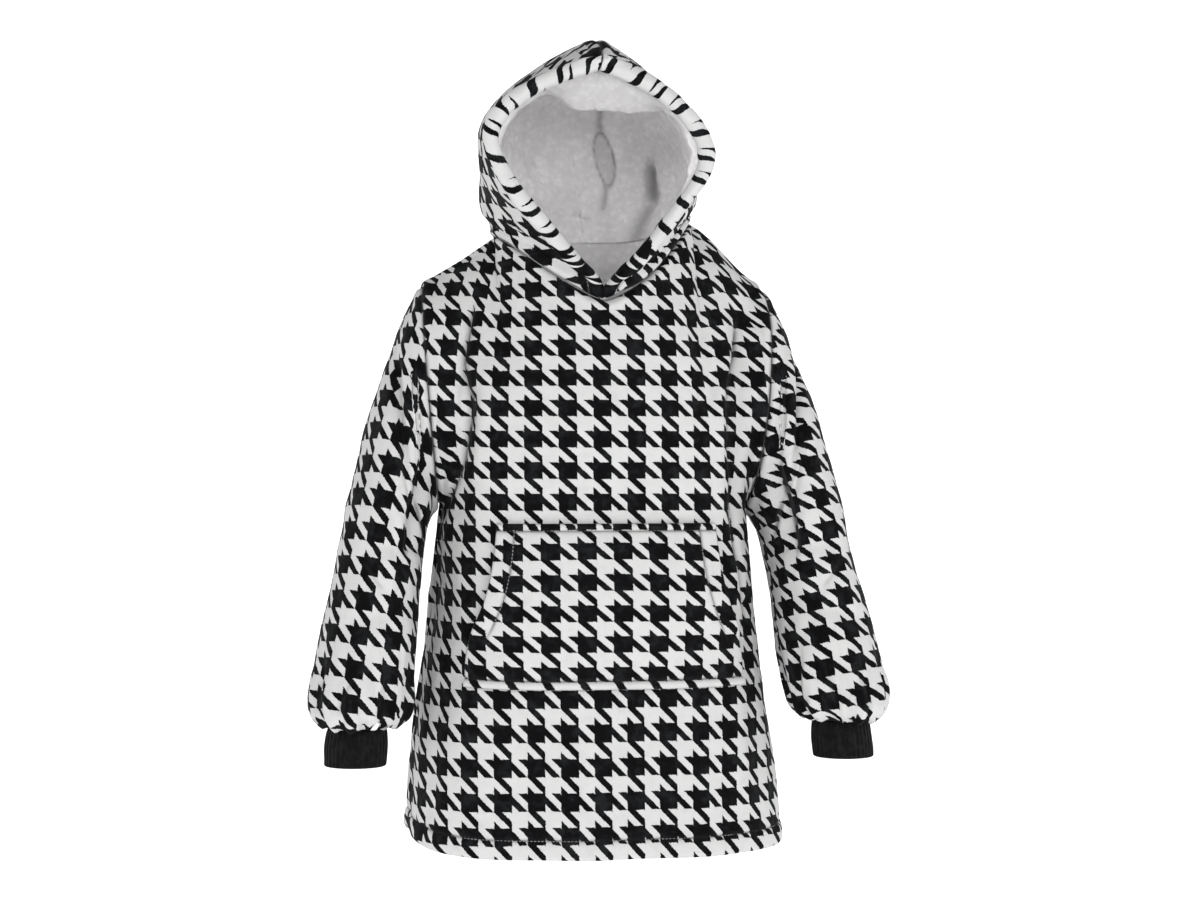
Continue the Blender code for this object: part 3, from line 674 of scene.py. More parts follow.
def shader_group(name: str, inputs: dict[str, tuple[str, object]], outputs: dict[str, str]) -> tuple:
    """A new shader node group.

    Args:
        name: The group's name.
        inputs: Each input's name with its kind of socket and first value.
        outputs: Each output's name with its kind of socket.

    Returns:
        The group's tree, its graph, its input sockets by name and its output node.
    """
    tree = bpy.data.node_groups.new(name, "ShaderNodeTree")
    for label, (kind, value) in inputs.items():
        socket = tree.interface.new_socket(label, in_out="INPUT", socket_type=kind)
        if value is not None:
            socket.default_value = value
    for label, kind in outputs.items():
        tree.interface.new_socket(label, in_out="OUTPUT", socket_type=kind)
    graph = Graph(tree)
    start = graph.add("NodeGroupInput")
    end = graph.add("NodeGroupOutput")
    return tree, graph, {socket.name: socket for socket in start.outputs}, end


def pile_group() -> bpy.types.NodeTree:
    """The brushed pile that fleece and sherpa share: its height, and where it is brushed, which the fleece and the knit
    use as the mask of their painted sheen and shade.
    """
    tree, graph, given, end = shader_group(
        "brushed_pile",
        {"Vector": ("NodeSocketVector", None), "Tufts": ("NodeSocketFloat", 900.0), "Patches": ("NodeSocketFloat", 45.0)},
        {"Height": "NodeSocketFloat", "Brushed Sheen": "NodeSocketFloat"},
    )
    fine = graph.add("ShaderNodeTexNoise")
    graph.feed(fine.inputs["Vector"], given["Vector"])
    graph.feed(fine.inputs["Scale"], given["Tufts"])
    fine.inputs["Detail"].default_value = 3.0
    fine.inputs["Roughness"].default_value = 0.65
    broad = graph.add("ShaderNodeTexNoise")
    graph.feed(broad.inputs["Vector"], given["Vector"])
    graph.feed(broad.inputs["Scale"], given["Patches"])
    broad.inputs["Detail"].default_value = 4.0
    broad.inputs["Roughness"].default_value = 0.6
    height = graph.math("ADD", fine.outputs["Fac"], graph.math("MULTIPLY", broad.outputs["Fac"], 0.8))
    graph.feed(end.inputs["Height"], height)
    graph.feed(end.inputs["Brushed Sheen"], graph.spread(broad.outputs["Fac"], 0.42, 0.68))
    return tree


def houndstooth_group() -> bpy.types.NodeTree:
    """The print: which spots are dark, from grain coordinates in metres."""
    tree, graph, given, end = shader_group(
        "houndstooth",
        {
            "Grain": ("NodeSocketVector", None),
            "Repeat Across": ("NodeSocketFloat", 0.0435),
            "Repeat Along": ("NodeSocketFloat", 0.0400),
        },
        {"Dark": "NodeSocketFloat"},
    )
    split = graph.add("ShaderNodeSeparateXYZ")
    graph.feed(split.inputs[0], given["Grain"])
    across = graph.math("DIVIDE", split.outputs[0], given["Repeat Across"])
    along = graph.math("DIVIDE", split.outputs[1], given["Repeat Along"])
    warp = graph.math("LESS_THAN", graph.math("FRACT", across), DARK_SHARE)
    weft = graph.math("LESS_THAN", graph.math("FRACT", along), DARK_SHARE)
    diagonal = graph.math("MULTIPLY", graph.math("ADD", across, along), 2.0)
    over = graph.math("LESS_THAN", graph.math("FRACT", diagonal), 0.5)
    warp_shows = graph.math("MULTIPLY", over, warp)
    weft_shows = graph.math("MULTIPLY", graph.math("SUBTRACT", 1.0, over), weft)
    graph.feed(end.inputs["Dark"], graph.math("ADD", warp_shows, weft_shows))
    return tree


@dataclass(frozen=True)
class Finish:
    """What every finish has: its name and how its surface shines."""

    name: str
    roughness: float = 0.9
    sheen: float = 0.3
    sheen_roughness: float = 0.5
    specular: float = 0.15

    def start(self) -> tuple[bpy.types.Material, Graph, bpy.types.Node]:
        """A new material with this finish's constants, its graph and its shader."""
        material = bpy.data.materials.new(self.name)
        material.use_nodes = True
        graph = Graph(material.node_tree)
        shader = material.node_tree.nodes["Principled BSDF"]
        shader.inputs["Roughness"].default_value = self.roughness
        shader.inputs["Sheen Weight"].default_value = self.sheen
        shader.inputs["Sheen Roughness"].default_value = self.sheen_roughness
        shader.inputs["Specular IOR Level"].default_value = self.specular
        return material, graph, shader

    def object_place(self, graph: Graph) -> bpy.types.NodeSocket:
        """The point's place on the object."""
        return graph.add("ShaderNodeTexCoord").outputs["Object"]

    def with_crease_shade(self, graph: Graph, colour: object, shade: tuple, most: float) -> bpy.types.NodeSocket:
        """A colour with painted crease shade: it darkens towards a shade colour where the cloth lies in a crease."""
        crease_shade = graph.add("ShaderNodeAttribute", attribute_name="crease_shade")
        return graph.blend(graph.math("MULTIPLY", crease_shade.outputs["Fac"], most), colour, shade)

    def relief(self, graph: Graph, shader: bpy.types.Node, height: object, strength: float, distance: float) -> None:
        """Feeds a height to the shader's normal through a Bump node."""
        bump = graph.add("ShaderNodeBump")
        bump.inputs["Strength"].default_value = strength
        bump.inputs["Distance"].default_value = distance
        graph.feed(bump.inputs["Height"], height)
        graph.feed(shader.inputs["Normal"], bump.outputs["Normal"])


@dataclass(frozen=True)
class HoundstoothFleece(Finish):
    """Short-pile fleece printed in a black and off-white houndstooth."""

    repeat_across: float = 0.0435
    repeat_along: float = 0.0424
    light: tuple = (0.70, 0.70, 0.69, 1.0)
    # Painted shade: the greyer white between the pile's tufts and in the brushed patches.
    light_pile_shade: tuple = (0.52, 0.52, 0.52, 1.0)
    dark: tuple = (0.003, 0.003, 0.0035, 1.0)
    # Painted sheen: the lighter black where the brushed nap catches the light.
    dark_brushed_sheen: tuple = (0.014, 0.015, 0.016, 1.0)
    # Painted shade: the dark colour the fleece takes in creases, seams and folds.
    crease_shade_colour: tuple = (0.032, 0.032, 0.034, 1.0)
    edge_fuzz: float = 0.0011

    def build(self, print_group: bpy.types.NodeTree, pile: bpy.types.NodeTree) -> bpy.types.Material:
        """The fleece's material.

        Args:
            print_group: The houndstooth's node group.
            pile: The brushed pile's node group.

        Returns:
            The material.
        """
        material, graph, shader = self.start()
        place = self.object_place(graph)
        grain = graph.add("ShaderNodeUVMap", uv_map="grain")
        ragged = graph.add("ShaderNodeTexNoise")
        graph.feed(ragged.inputs["Vector"], place)
        ragged.inputs["Scale"].default_value = 700.0
        ragged.inputs["Detail"].default_value = 1.0
        centred = graph.add("ShaderNodeVectorMath", operation="SUBTRACT")
        graph.feed(centred.inputs[0], ragged.outputs["Color"])
        centred.inputs[1].default_value = (0.5, 0.5, 0.5)
        moved = graph.add("ShaderNodeVectorMath", operation="SCALE")
        graph.feed(moved.inputs[0], centred.outputs[0])
        moved.inputs["Scale"].default_value = self.edge_fuzz * 2
        fuzzy = graph.add("ShaderNodeVectorMath", operation="ADD")
        graph.feed(fuzzy.inputs[0], grain.outputs["UV"])
        graph.feed(fuzzy.inputs[1], moved.outputs[0])
        check = graph.add("ShaderNodeGroup", node_tree=print_group)
        graph.feed(check.inputs["Grain"], fuzzy.outputs[0])
        check.inputs["Repeat Across"].default_value = self.repeat_across
        check.inputs["Repeat Along"].default_value = self.repeat_along
        nap = graph.add("ShaderNodeGroup", node_tree=pile)
        graph.feed(nap.inputs["Vector"], place)
        nap.inputs["Tufts"].default_value = 1100.0
        nap.inputs["Patches"].default_value = 60.0
        brushed_sheen = nap.outputs["Brushed Sheen"]
        tuft = graph.spread(nap.outputs["Height"], 0.6, 1.2)
        # Painted shade on the white, darker where the pile is low and where the nap is brushed.
        pale = graph.blend(graph.math("MULTIPLY", tuft, 0.55), self.light_pile_shade, self.light)
        pale = graph.blend(graph.math("MULTIPLY", brushed_sheen, 0.35), pale, self.light_pile_shade)
        # Painted sheen on the black where the nap is brushed.
        inked = graph.blend(graph.math("MULTIPLY", brushed_sheen, tuft), self.dark, self.dark_brushed_sheen)
        shown = graph.blend(check.outputs["Dark"], pale, inked)
        # Painted shade in creases, seams and folds, mixed over the print.
        graph.feed(shader.inputs["Base Color"], self.with_crease_shade(graph, shown, self.crease_shade_colour, 0.88))
        self.relief(graph, shader, nap.outputs["Height"], 0.35, 0.0010)
        return material


@dataclass(frozen=True)
class SherpaPile(Finish):
    """Curly off-white sherpa."""

    curl: tuple = (0.97, 0.96, 0.96, 1.0)
    # Painted shade: the darker colour in the hollows between the curls.
    hollow_shade: tuple = (0.80, 0.79, 0.80, 1.0)
    matted: tuple = (0.72, 0.70, 0.70, 1.0)
    # Painted shade: the dark colour the sherpa takes in the lining's folds and creases.
    crease_shade_colour: tuple = (0.16, 0.155, 0.155, 1.0)

    def build(self, pile: bpy.types.NodeTree) -> bpy.types.Material:
        """The sherpa's material, over the brushed pile's node group."""
        material, graph, shader = self.start()
        place = self.object_place(graph)
        bend = graph.add("ShaderNodeTexNoise")
        graph.feed(bend.inputs["Vector"], place)
        bend.inputs["Scale"].default_value = 140.0
        bend.inputs["Detail"].default_value = 2.0
        bent = graph.add("ShaderNodeVectorMath", operation="MULTIPLY_ADD")
        graph.feed(bent.inputs[0], bend.outputs["Color"])
        bent.inputs[1].default_value = (0.009, 0.009, 0.009)
        graph.feed(bent.inputs[2], place)
        curls = graph.add("ShaderNodeTexVoronoi", feature="SMOOTH_F1")
        graph.feed(curls.inputs["Vector"], bent.outputs[0])
        curls.inputs["Scale"].default_value = 130.0
        curls.inputs["Smoothness"].default_value = 0.8
        nap = graph.add("ShaderNodeGroup", node_tree=pile)
        graph.feed(nap.inputs["Vector"], bent.outputs[0])
        nap.inputs["Tufts"].default_value = 650.0
        nap.inputs["Patches"].default_value = 90.0
        crest = graph.math("SUBTRACT", 1.0, curls.outputs["Distance"])
        height = graph.math("ADD", crest, graph.math("MULTIPLY", nap.outputs["Height"], 0.5))
        # Painted shade in the hollows between the curls, by the curls' height.
        shade = graph.spread(height, 0.75, 1.55)
        shown = graph.blend(shade, self.hollow_shade, self.curl)
        matted = graph.spread(graph.noise(bent.outputs[0], 38.0, 3.0, 0.6), 0.40, 0.66)
        shown = graph.blend(graph.math("MULTIPLY", matted, 0.55), shown, self.matted)
        # Painted shade in the lining's folds, round its pucker and on its lit band.
        graph.feed(shader.inputs["Base Color"], self.with_crease_shade(graph, shown, self.crease_shade_colour, 0.8))
        self.relief(graph, shader, height, 0.6, 0.0022)
        return material


@dataclass(frozen=True)
class RibKnit(Finish):
    """Black rib knit, its stitches running down each rib."""

    yarn: tuple = (0.004, 0.004, 0.0045, 1.0)
    # Painted sheen: the lighter black where the brushed yarn catches the light.
    yarn_sheen: tuple = (0.011, 0.011, 0.012, 1.0)
    stitch_height: float = 0.0017

    def build(self, pile: bpy.types.NodeTree) -> bpy.types.Material:
        """The knit's material, over the brushed pile's node group."""
        material, graph, shader = self.start()
        grain = graph.add("ShaderNodeUVMap", uv_map="grain")
        split = graph.add("ShaderNodeSeparateXYZ")
        graph.feed(split.inputs[0], grain.outputs["UV"])
        lean = graph.math("ABSOLUTE", graph.math("SINE", graph.math("MULTIPLY", split.outputs[0], math.pi / 0.0033)))
        course = graph.math("DIVIDE", split.outputs[1], self.stitch_height)
        loops = graph.math("SINE", graph.math("MULTIPLY", graph.math("ADD", course, lean), math.tau))
        nap = graph.add("ShaderNodeGroup", node_tree=pile)
        graph.feed(nap.inputs["Vector"], self.object_place(graph))
        nap.inputs["Tufts"].default_value = 1500.0
        nap.inputs["Patches"].default_value = 120.0
        # Painted sheen on the knit where the nap is brushed.
        shade = graph.math("MULTIPLY", nap.outputs["Brushed Sheen"], 0.8)
        graph.feed(shader.inputs["Base Color"], graph.blend(shade, self.yarn, self.yarn_sheen))
        height = graph.math("ADD", graph.math("MULTIPLY", loops, 0.4), nap.outputs["Height"])
        self.relief(graph, shader, height, 0.45, 0.0006)
        return material


@dataclass(frozen=True)
class SewingThread(Finish):
    """Spun sewing thread."""

    colour: tuple = (0.42, 0.42, 0.43, 1.0)
    colour_shaded: tuple = (0.26, 0.26, 0.27, 1.0)

    def build(self) -> bpy.types.Material:
        """The thread's material, with the twist of its plies."""
        material, graph, shader = self.start()
        twist = graph.add("ShaderNodeTexWave", wave_type="BANDS", bands_direction="DIAGONAL")
        graph.feed(twist.inputs["Vector"], self.object_place(graph))
        twist.inputs["Scale"].default_value = 700.0
        twist.inputs["Distortion"].default_value = 1.5
        graph.feed(shader.inputs["Base Color"], graph.blend(twist.outputs["Fac"], self.colour_shaded, self.colour))
        self.relief(graph, shader, twist.outputs["Fac"], 0.4, 0.0003)
        return material


@dataclass(frozen=True)
class StudioPaper(Finish):
    """The pale floor, with the faint tooth of paper."""

    tone: tuple = (0.95, 0.95, 0.95, 1.0)
    tone_low: tuple = (0.93, 0.93, 0.93, 1.0)
    glow: float = 0.62

    def build(self) -> bpy.types.Material:
        """The floor's material."""
        material, graph, shader = self.start()
        tooth = graph.noise(self.object_place(graph), 6.0, 3.0)
        graph.feed(shader.inputs["Base Color"], graph.blend(tooth, self.tone_low, self.tone))
        shader.inputs["Emission Color"].default_value = self.tone
        shader.inputs["Emission Strength"].default_value = self.glow
        return material


@dataclass
class ClothWall:
    """A closed cloth wall between an outer and an inner grid of points.

    Attributes:
        name: The piece's name.
        outer: The outer grid, rows by columns by 3.
        inner: The inner grid.
        grain: The print's coordinates, rows by columns by 2.
        closed: Whether the last column is the first again.
        turned_rows: How many first rows show the outer cloth on the inside too.
        inner_grain: The print's coordinates on the inner face, where they differ.
        crease_shade: How much painted shade each point gets for lying in a crease, 0 to 1.
        inner_crease_shade: The same on the inner face, where it differs.
        lined_top: Whether the last row's edge shows the inner cloth.
    """

    name: str
    outer: np.ndarray
    inner: np.ndarray
    grain: np.ndarray
    closed: bool = False
    turned_rows: int = 0
    inner_grain: np.ndarray | None = None
    crease_shade: np.ndarray | float = 0.0
    inner_crease_shade: np.ndarray | float | None = None
    lined_top: bool = False

    @staticmethod
    def _quads(ids: np.ndarray) -> np.ndarray:
        """The corners of every cell of a grid of numbers."""
        return np.stack([ids[:-1, :-1], ids[:-1, 1:], ids[1:, 1:], ids[1:, :-1]], -1).reshape(-1, 4)

    def build(self, outside: bpy.types.Material, inside: bpy.types.Material) -> bpy.types.Object:
        """Makes the piece.

        Args:
            outside: What its outer face shows.
            inside: What its inner face shows.

        Returns:
            The object, its place in its mesh.
        """
        rows, columns = self.outer.shape[:2]
        ring = columns - 1 if self.closed else columns
        ids = np.arange(rows)[:, None] * ring + (np.arange(columns) % ring)[None, :]
        spots = np.arange(rows * columns).reshape(rows, columns)
        count = rows * ring
        faces = [self._quads(ids), self._quads(ids + count)[:, ::-1]]
        corners = [self._quads(spots), self._quads(spots)[:, ::-1] + rows * columns]
        strips = [(ids[0], spots[0], 1), (ids[-1], spots[-1], -1)]
        if not self.closed:
            strips += [(ids[:, 0], spots[:, 0], -1), (ids[:, -1], spots[:, -1], 1)]
        for edge, spot, way in strips:
            pair = np.stack([edge[1:], edge[:-1], edge[:-1] + count, edge[1:] + count], -1)
            pair_spots = np.stack([spot[1:], spot[:-1], spot[:-1], spot[1:]], -1)
            faces.append(pair[:, ::way])
            corners.append(pair_spots[:, ::way])
        inner_rows = np.repeat(np.arange(rows - 1), columns - 1)
        shown = np.zeros(sum(len(part) for part in faces), np.int32)
        start = len(faces[0])
        shown[start : start + len(faces[1])] = inner_rows >= self.turned_rows
        start += len(faces[1]) + len(faces[2])
        shown[start : start + len(faces[3])] = self.lined_top
        all_faces = np.concatenate(faces)
        points = as_worn(np.concatenate([self.outer[:, :ring].reshape(-1, 3), self.inner[:, :ring].reshape(-1, 3)]))
        mesh = bpy.data.meshes.new(self.name)
        mesh.from_pydata(points.tolist(), [], all_faces.tolist())
        layer = mesh.uv_layers.new(name="grain")
        inner_grain = self.grain if self.inner_grain is None else self.inner_grain
        both = np.concatenate([self.grain.reshape(-1, 2), inner_grain.reshape(-1, 2)])
        layer.data.foreach_set("uv", both[np.concatenate(corners).ravel()].astype(np.float32).ravel())
        mesh.polygons.foreach_set("material_index", shown)
        mesh.materials.append(outside)
        mesh.materials.append(inside)
        # The crease shade attribute carries painted shade, which the materials mix into their colour.
        inner_crease_shade = self.crease_shade if self.inner_crease_shade is None else self.inner_crease_shade
        hollow_shade = [np.broadcast_to(crease_shade, (rows, columns))[:, :ring].ravel() for crease_shade in (self.crease_shade, inner_crease_shade)]
        attribute = mesh.attributes.new("crease_shade", "FLOAT", "POINT")
        attribute.data.foreach_set("value", np.clip(np.concatenate(hollow_shade), 0.0, 1.0).astype(np.float32))
        shape = bmesh.new()
        shape.from_mesh(mesh)
        bmesh.ops.remove_doubles(shape, verts=shape.verts, dist=1e-6)
        if shape.calc_volume(signed=True) < 0:
            bmesh.ops.reverse_faces(shape, faces=shape.faces)
        shape.to_mesh(mesh)
        shape.free()
        mesh.shade_smooth()
        mesh.set_sharp_from_angle(angle=math.radians(80))
        made = bpy.data.objects.new(self.name, mesh)
        bpy.context.scene.collection.objects.link(made)
        return made


def seat(piece: bpy.types.Object, node: str | None = None) -> None:
    """Lets a piece ride on the garment.

    Args:
        piece: The finished piece.
        node: The solid it stands for, if any.
    """
    if node:
        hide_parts(node)
    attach(piece, "root")
    triangles = sum(len(face.vertices) - 2 for face in piece.data.polygons)
    area = sum(face.area for face in piece.data.polygons) / 2
    LOG.info("%s: %d triangles, %.4f square metres of cloth", piece.name, triangles, area)


@dataclass(frozen=True)
class Cut:
    """The flat size a cloth piece is cut to, in metres, and its area in square metres."""

    width: float
    length: float
    area: float


@dataclass
class BodyCloth:
    """The front and back panels, hung from the neckline and shoulders."""

    front_columns: int = 221
    front_rows: int = 190
    back_columns: int = 161
    back_rows: int = 150
    hem_fold: float = 0.024
    hem_edge_radius: float = 0.0042
    print_shift: tuple = (0.0186, 0.0235)
    print_heights: tuple = (-0.776, -0.60, -0.40, -0.18, 0.05)
    print_along: tuple = (1.00, 1.00, 1.05, 1.11, 1.11)
    print_across: tuple = (1.04, 1.04, 1.01, 1.00, 1.00)

    def neckline(self, side: Side, turn: np.ndarray) -> np.ndarray:
        """The neckline's points: turn 0 is the centre front or back, 90 the neck point."""
        angle = np.radians(turn)
        centre_y, centre_z, power = NECK_CENTRE[side]
        x = NECK_HALF_WIDTH * np.sin(angle)
        y = NECK_POINT_Y + (centre_y - NECK_POINT_Y) * np.cos(angle)
        z = NECK_POINT_Z + (centre_z - NECK_POINT_Z) * (1.0 - np.abs(np.sin(angle)) ** power)
        return np.stack([x, y, z], axis=-1)

    def top_edge(self, side: Side, across: np.ndarray) -> np.ndarray:
        """A panel's top edge: the neckline, then the shoulder seam out to the armhole."""
        share = np.abs(across)
        neck = self.neckline(side, 90.0 * np.minimum(share / NECK_SHARE, 1.0))
        out = np.clip((share - NECK_SHARE) / (1.0 - NECK_SHARE), 0.0, 1.0)[..., None]
        neck_point = np.array([NECK_HALF_WIDTH, NECK_POINT_Y, NECK_POINT_Z])
        tip = np.array([SHOULDER_TIP_X, 0.0, SHOULDER_TIP_Z])
        edge = np.where((share <= NECK_SHARE)[..., None], neck, neck_point + (tip - neck_point) * out)
        edge[..., 0] *= np.sign(across)
        return edge

    def section(self, side: Side, across: np.ndarray, z: np.ndarray) -> np.ndarray:
        """Points of the level section at height z, from side seam to side seam."""
        angle = np.linspace(0.0, math.pi / 2, SECTION_POINTS)
        width = np.sin(angle) ** (2.0 / SIDE_SQUARENESS)
        depth = np.clip(np.cos(angle), 0.0, 1.0) ** (2.0 / SIDE_SQUARENESS)
        share = even_knots(np.stack([width, TYPICAL_SLIMNESS * depth], axis=1))
        sizes = curve_through([row.z for row in BODY_SECTIONS], [row[1:] for row in BODY_SECTIONS], z)
        deepest = sizes[..., 1] if side is Side.FRONT else sizes[..., 2]
        x = sizes[..., 0] * np.sign(across) * np.interp(np.abs(across), share, width)
        y = side.value * deepest * np.interp(np.abs(across), share, depth)
        return np.stack([x, y, z + 0.0 * x], axis=-1)

    def points(self, side: Side, across: np.ndarray, up: np.ndarray) -> np.ndarray:
        """Outer points of a panel.

        Args:
            side: The front or the back.
            across: -1 to 1 from side seam to side seam.
            up: 0 at the hem to 1 on top.

        Returns:
            The points, rows by columns.
        """
        across, up = np.broadcast_arrays(across[None, :], up[:, None])
        share = np.clip(up / UNDERARM_SHARE, 0.0, 1.0)
        rise = np.where(across > 0.0, HEM_SIDE_RISE[Hand.LEFT], HEM_SIDE_RISE[Hand.RIGHT])
        rise = rise * np.abs(across) ** HEM_RISE_POWER * (1.0 - share)
        low = self.section(side, across, HEM_Z + (UNDERARM_Z - HEM_Z) * share + rise)
        t = np.clip((up - UNDERARM_SHARE) / (1.0 - UNDERARM_SHARE), 0.0, 1.0)[..., None]
        base = self.section(side, across, np.full(across.shape, UNDERARM_Z))
        below = self.section(side, across, np.full(across.shape, UNDERARM_Z - TANGENT_STEP))
        top = self.top_edge(side, across)
        height = (top - base)[..., 2:3]
        leave = (base - below) / TANGENT_STEP * height * SIDE_PULL
        roll = smooth_step((np.abs(across) - ROLL_START) / (ROLL_END - ROLL_START))[..., None]
        arrive_neck = np.array([0.0, -side.value * NECK_LEAN, 1.0]) * height * NECK_PULL
        arrive_shoulder = np.array([0.0, -side.value * SHOULDER_ROLL, SHOULDER_RISE])
        arrive = arrive_neck + (arrive_shoulder - arrive_neck) * roll
        high = hermite(base, top, leave, arrive, t)
        full = CHEST_FULLNESS[side] * np.sin(math.pi * t[..., 0]) ** 2
        high[..., 1] += side.value * full * np.abs(across) ** 0.8 * (1.0 - np.abs(across) ** 3)
        return np.where((up <= UNDERARM_SHARE)[..., None], low, high)

    def with_armhole(self, side: Side, across: np.ndarray, up: np.ndarray, points: np.ndarray) -> np.ndarray:
        """Draws a panel's two upper edges onto the armhole, fading towards its middle."""
        t = np.clip((up - UNDERARM_SHARE) / (1.0 - UNDERARM_SHARE), 0.0, 1.0)
        turn = 180.0 * (1.0 - t) * (1.0 if side is Side.FRONT else -1.0)
        armhole = SleeveCloth().ring(np.zeros_like(turn), turn)
        moved = points.copy()
        for hand in Hand:
            column = -1 if hand is Hand.LEFT else 0
            shift = armhole * hand.mirror - points[:, column]
            shift[up <= UNDERARM_SHARE] = 0.0
            weight = np.clip(hand.value * across, 0.0, 1.0) ** ARMHOLE_FADE_POWER
            moved += shift[:, None, :] * weight[None, :, None]
        return moved

    def folded(self, side: Side, points: np.ndarray, normals: np.ndarray, edge: np.ndarray | float = 1.0) -> np.ndarray:
        """Panel points with the largest folds pressed in and soft flutes down to the hem."""
        level = points[..., [0, 2]]
        press = np.zeros(points.shape[:2])
        for fold in BODY_FOLDS:
            if fold.side is side:
                press += trough((fold.x0, fold.z0), (fold.x1, fold.z1), level, fold.half_breadth, fold.depth)
        low = smooth_step((FLUTE_TOP_Z - points[..., 2]) / (FLUTE_TOP_Z - HEM_Z))
        turns = points[..., 0] / FLUTE_SPAN * FLUTE_COUNT / 2
        press += FLUTE_DEPTH * low * np.sin(math.pi * turns + FLUTE_PHASE * side.value)
        return points - normals * (press * edge)[..., None]

    def print_map(self, side: Side, points: np.ndarray) -> np.ndarray:
        """The print's coordinates on a panel: straight with the centre line."""
        level = points[..., 2]
        middle = (level[1:] + level[:-1]) / 2
        beside = smooth_step((np.abs(points[1:, :, 0]) - 0.13) / 0.05) * smooth_step((-0.04 - middle) / 0.04)
        steps = np.hypot(np.diff(points[..., 1], axis=0) * (1.0 - beside), np.diff(level, axis=0))
        steps = steps * np.interp(middle, self.print_heights, self.print_along)
        along = np.cumsum(np.pad(steps, [(1, 0), (0, 0)]), axis=0) + (level[0] - HEM_Z)[None, :]
        run = np.hypot(np.diff(points[..., 0], axis=1), np.diff(points[..., 1], axis=1))
        across = np.cumsum(np.pad(run, [(0, 0), (1, 0)]), axis=1)
        centre = points.shape[1] // 2
        across = across - across[:, centre : centre + 1]
        across = across * np.interp(level, self.print_heights, self.print_across)
        for pleat in PLEATS:
            if pleat.side is side:
                away, full = pleat_share(pleat, points[..., 0], level)
                outside = smooth_step(away / 0.009 + 0.5) - (1.0 if pleat.x[0] < 0 else 0.0)
                across = across + pleat.swallow * full * outside
        across = across * -side.value
        return np.stack([across + self.print_shift[0], along + self.print_shift[1]], -1)

    def rows(self, count: int) -> np.ndarray:
        """Shares of the way up, close together at the hem's edge and at its stitch line."""
        height = 0.79
        near = np.array([0.0, 0.0004, 0.0011, 0.0020, 0.0031, 0.0044, 0.0062, 0.0085, 0.0112, 0.0142, 0.0172, 0.0196, 0.0212, 0.0226, 0.0240, 0.0254, 0.0268, 0.0284, 0.0310]) / height
        rest = np.linspace(near[-1], 1.0, count - len(near) + 1)[1:]
        up = np.concatenate([near, rest])
        up[np.argmin(np.abs(up - UNDERARM_SHARE))] = UNDERARM_SHARE
        return up

    def panel(self, side: Side, fleece: bpy.types.Material, sherpa: bpy.types.Material) -> bpy.types.Object:
        """One panel, folded, hemmed and seamed.

        Args:
            side: The front or the back.
            fleece: Its outer cloth.
            sherpa: Its inner cloth.

        Returns:
            The piece.
        """
        front = side is Side.FRONT
        across = np.linspace(-1.0, 1.0, self.front_columns if front else self.back_columns)
        up = self.rows(self.front_rows if front else self.back_rows)
        plain = self.with_armhole(side, across, up, self.points(side, across, up))
        facing = -side.value
        normals = grid_normals(plain) * facing
        along = lengths_along(plain, 1)
        to_side = np.minimum(along, along[:, -1:] - along)
        climb = lengths_along(plain, 0)
        to_top = climb[-1:] - climb
        edge = smooth_step(to_side / 0.016) * smooth_step(to_top / 0.016)
        folded = self.folded(side, plain, normals, edge)
        grain = self.print_map(side, folded)
        normals = grid_normals(folded) * facing
        level = folded[..., [0, 2]]
        press = np.zeros(plain.shape[:2])
        for fold in BODY_CREASES:
            if fold.side is side:
                press += trough((fold.x0, fold.z0), (fold.x1, fold.z1), level, fold.half_breadth, fold.depth)
        for pleat in PLEATS:
            if pleat.side is side:
                away, full = pleat_share(pleat, folded[..., 0], folded[..., 2])
                inward = math.copysign(PLEAT_RIDGE, pleat.x[0])
                press += pleat.depth * full * bell(away, PLEAT_BREADTH)
                press -= pleat.depth * 0.45 * full * bell(away + inward, PLEAT_RIDGE * 0.7)
        u = grain[..., 0]
        v = climb
        seed = 11 if front else 31
        under_pocket = 0.0
        if front:
            x = np.abs(folded[..., 0])
            z = folded[..., 2]
            under_pocket = smooth_step((0.185 - x) / 0.02) * smooth_step((z + 0.58) / 0.02) * smooth_step((-0.34 - z) / 0.02)
        calm = 1.0 - 0.85 * under_pocket
        ripple = 0.0022 * soft_noise(u, v, 0.075, seed) + 0.0010 * soft_noise(u, v, 0.030, seed + 1)
        ripple = ripple + 0.00045 * soft_noise(u, v, 0.012, seed + 2)
        press = (press + ripple * calm) * edge
        gather = soft_noise(u, v, 0.011, seed + 3) + 0.6 * soft_noise(u * 1.7, v * 0.5, 0.014, seed + 4)
        press += 0.0009 * gather * bell(v - self.hem_fold, 0.014) * edge
        press += 0.0026 * bell(v - self.hem_fold, 0.0026)
        press -= 0.0010 * bell(v - self.hem_fold / 2, 0.0085)
        valley = seam_valley(to_side) + seam_valley(to_top)
        pull = soft_noise(v, u, 0.016, seed + 5)
        press += 0.0009 * pull * bell(to_side - 0.006, 0.009) * smooth_step(to_side / 0.003)
        half = BODY_WALL / 2
        middle = folded - normals * (press + half)[..., None]
        normals = self.edge_normals(grid_normals(middle) * facing, across, up)
        rounded = np.sqrt(np.maximum(self.hem_edge_radius**2 - (self.hem_edge_radius - np.minimum(v, self.hem_edge_radius)) ** 2, 1e-9))
        double = half + 0.0012 * smooth_step((self.hem_fold - v) / 0.004)
        half = np.minimum(rounded / self.hem_edge_radius, 1.0) * double
        name = "front_panel" if front else "back_panel"
        turned = int(np.searchsorted(up * 0.79, self.hem_fold))
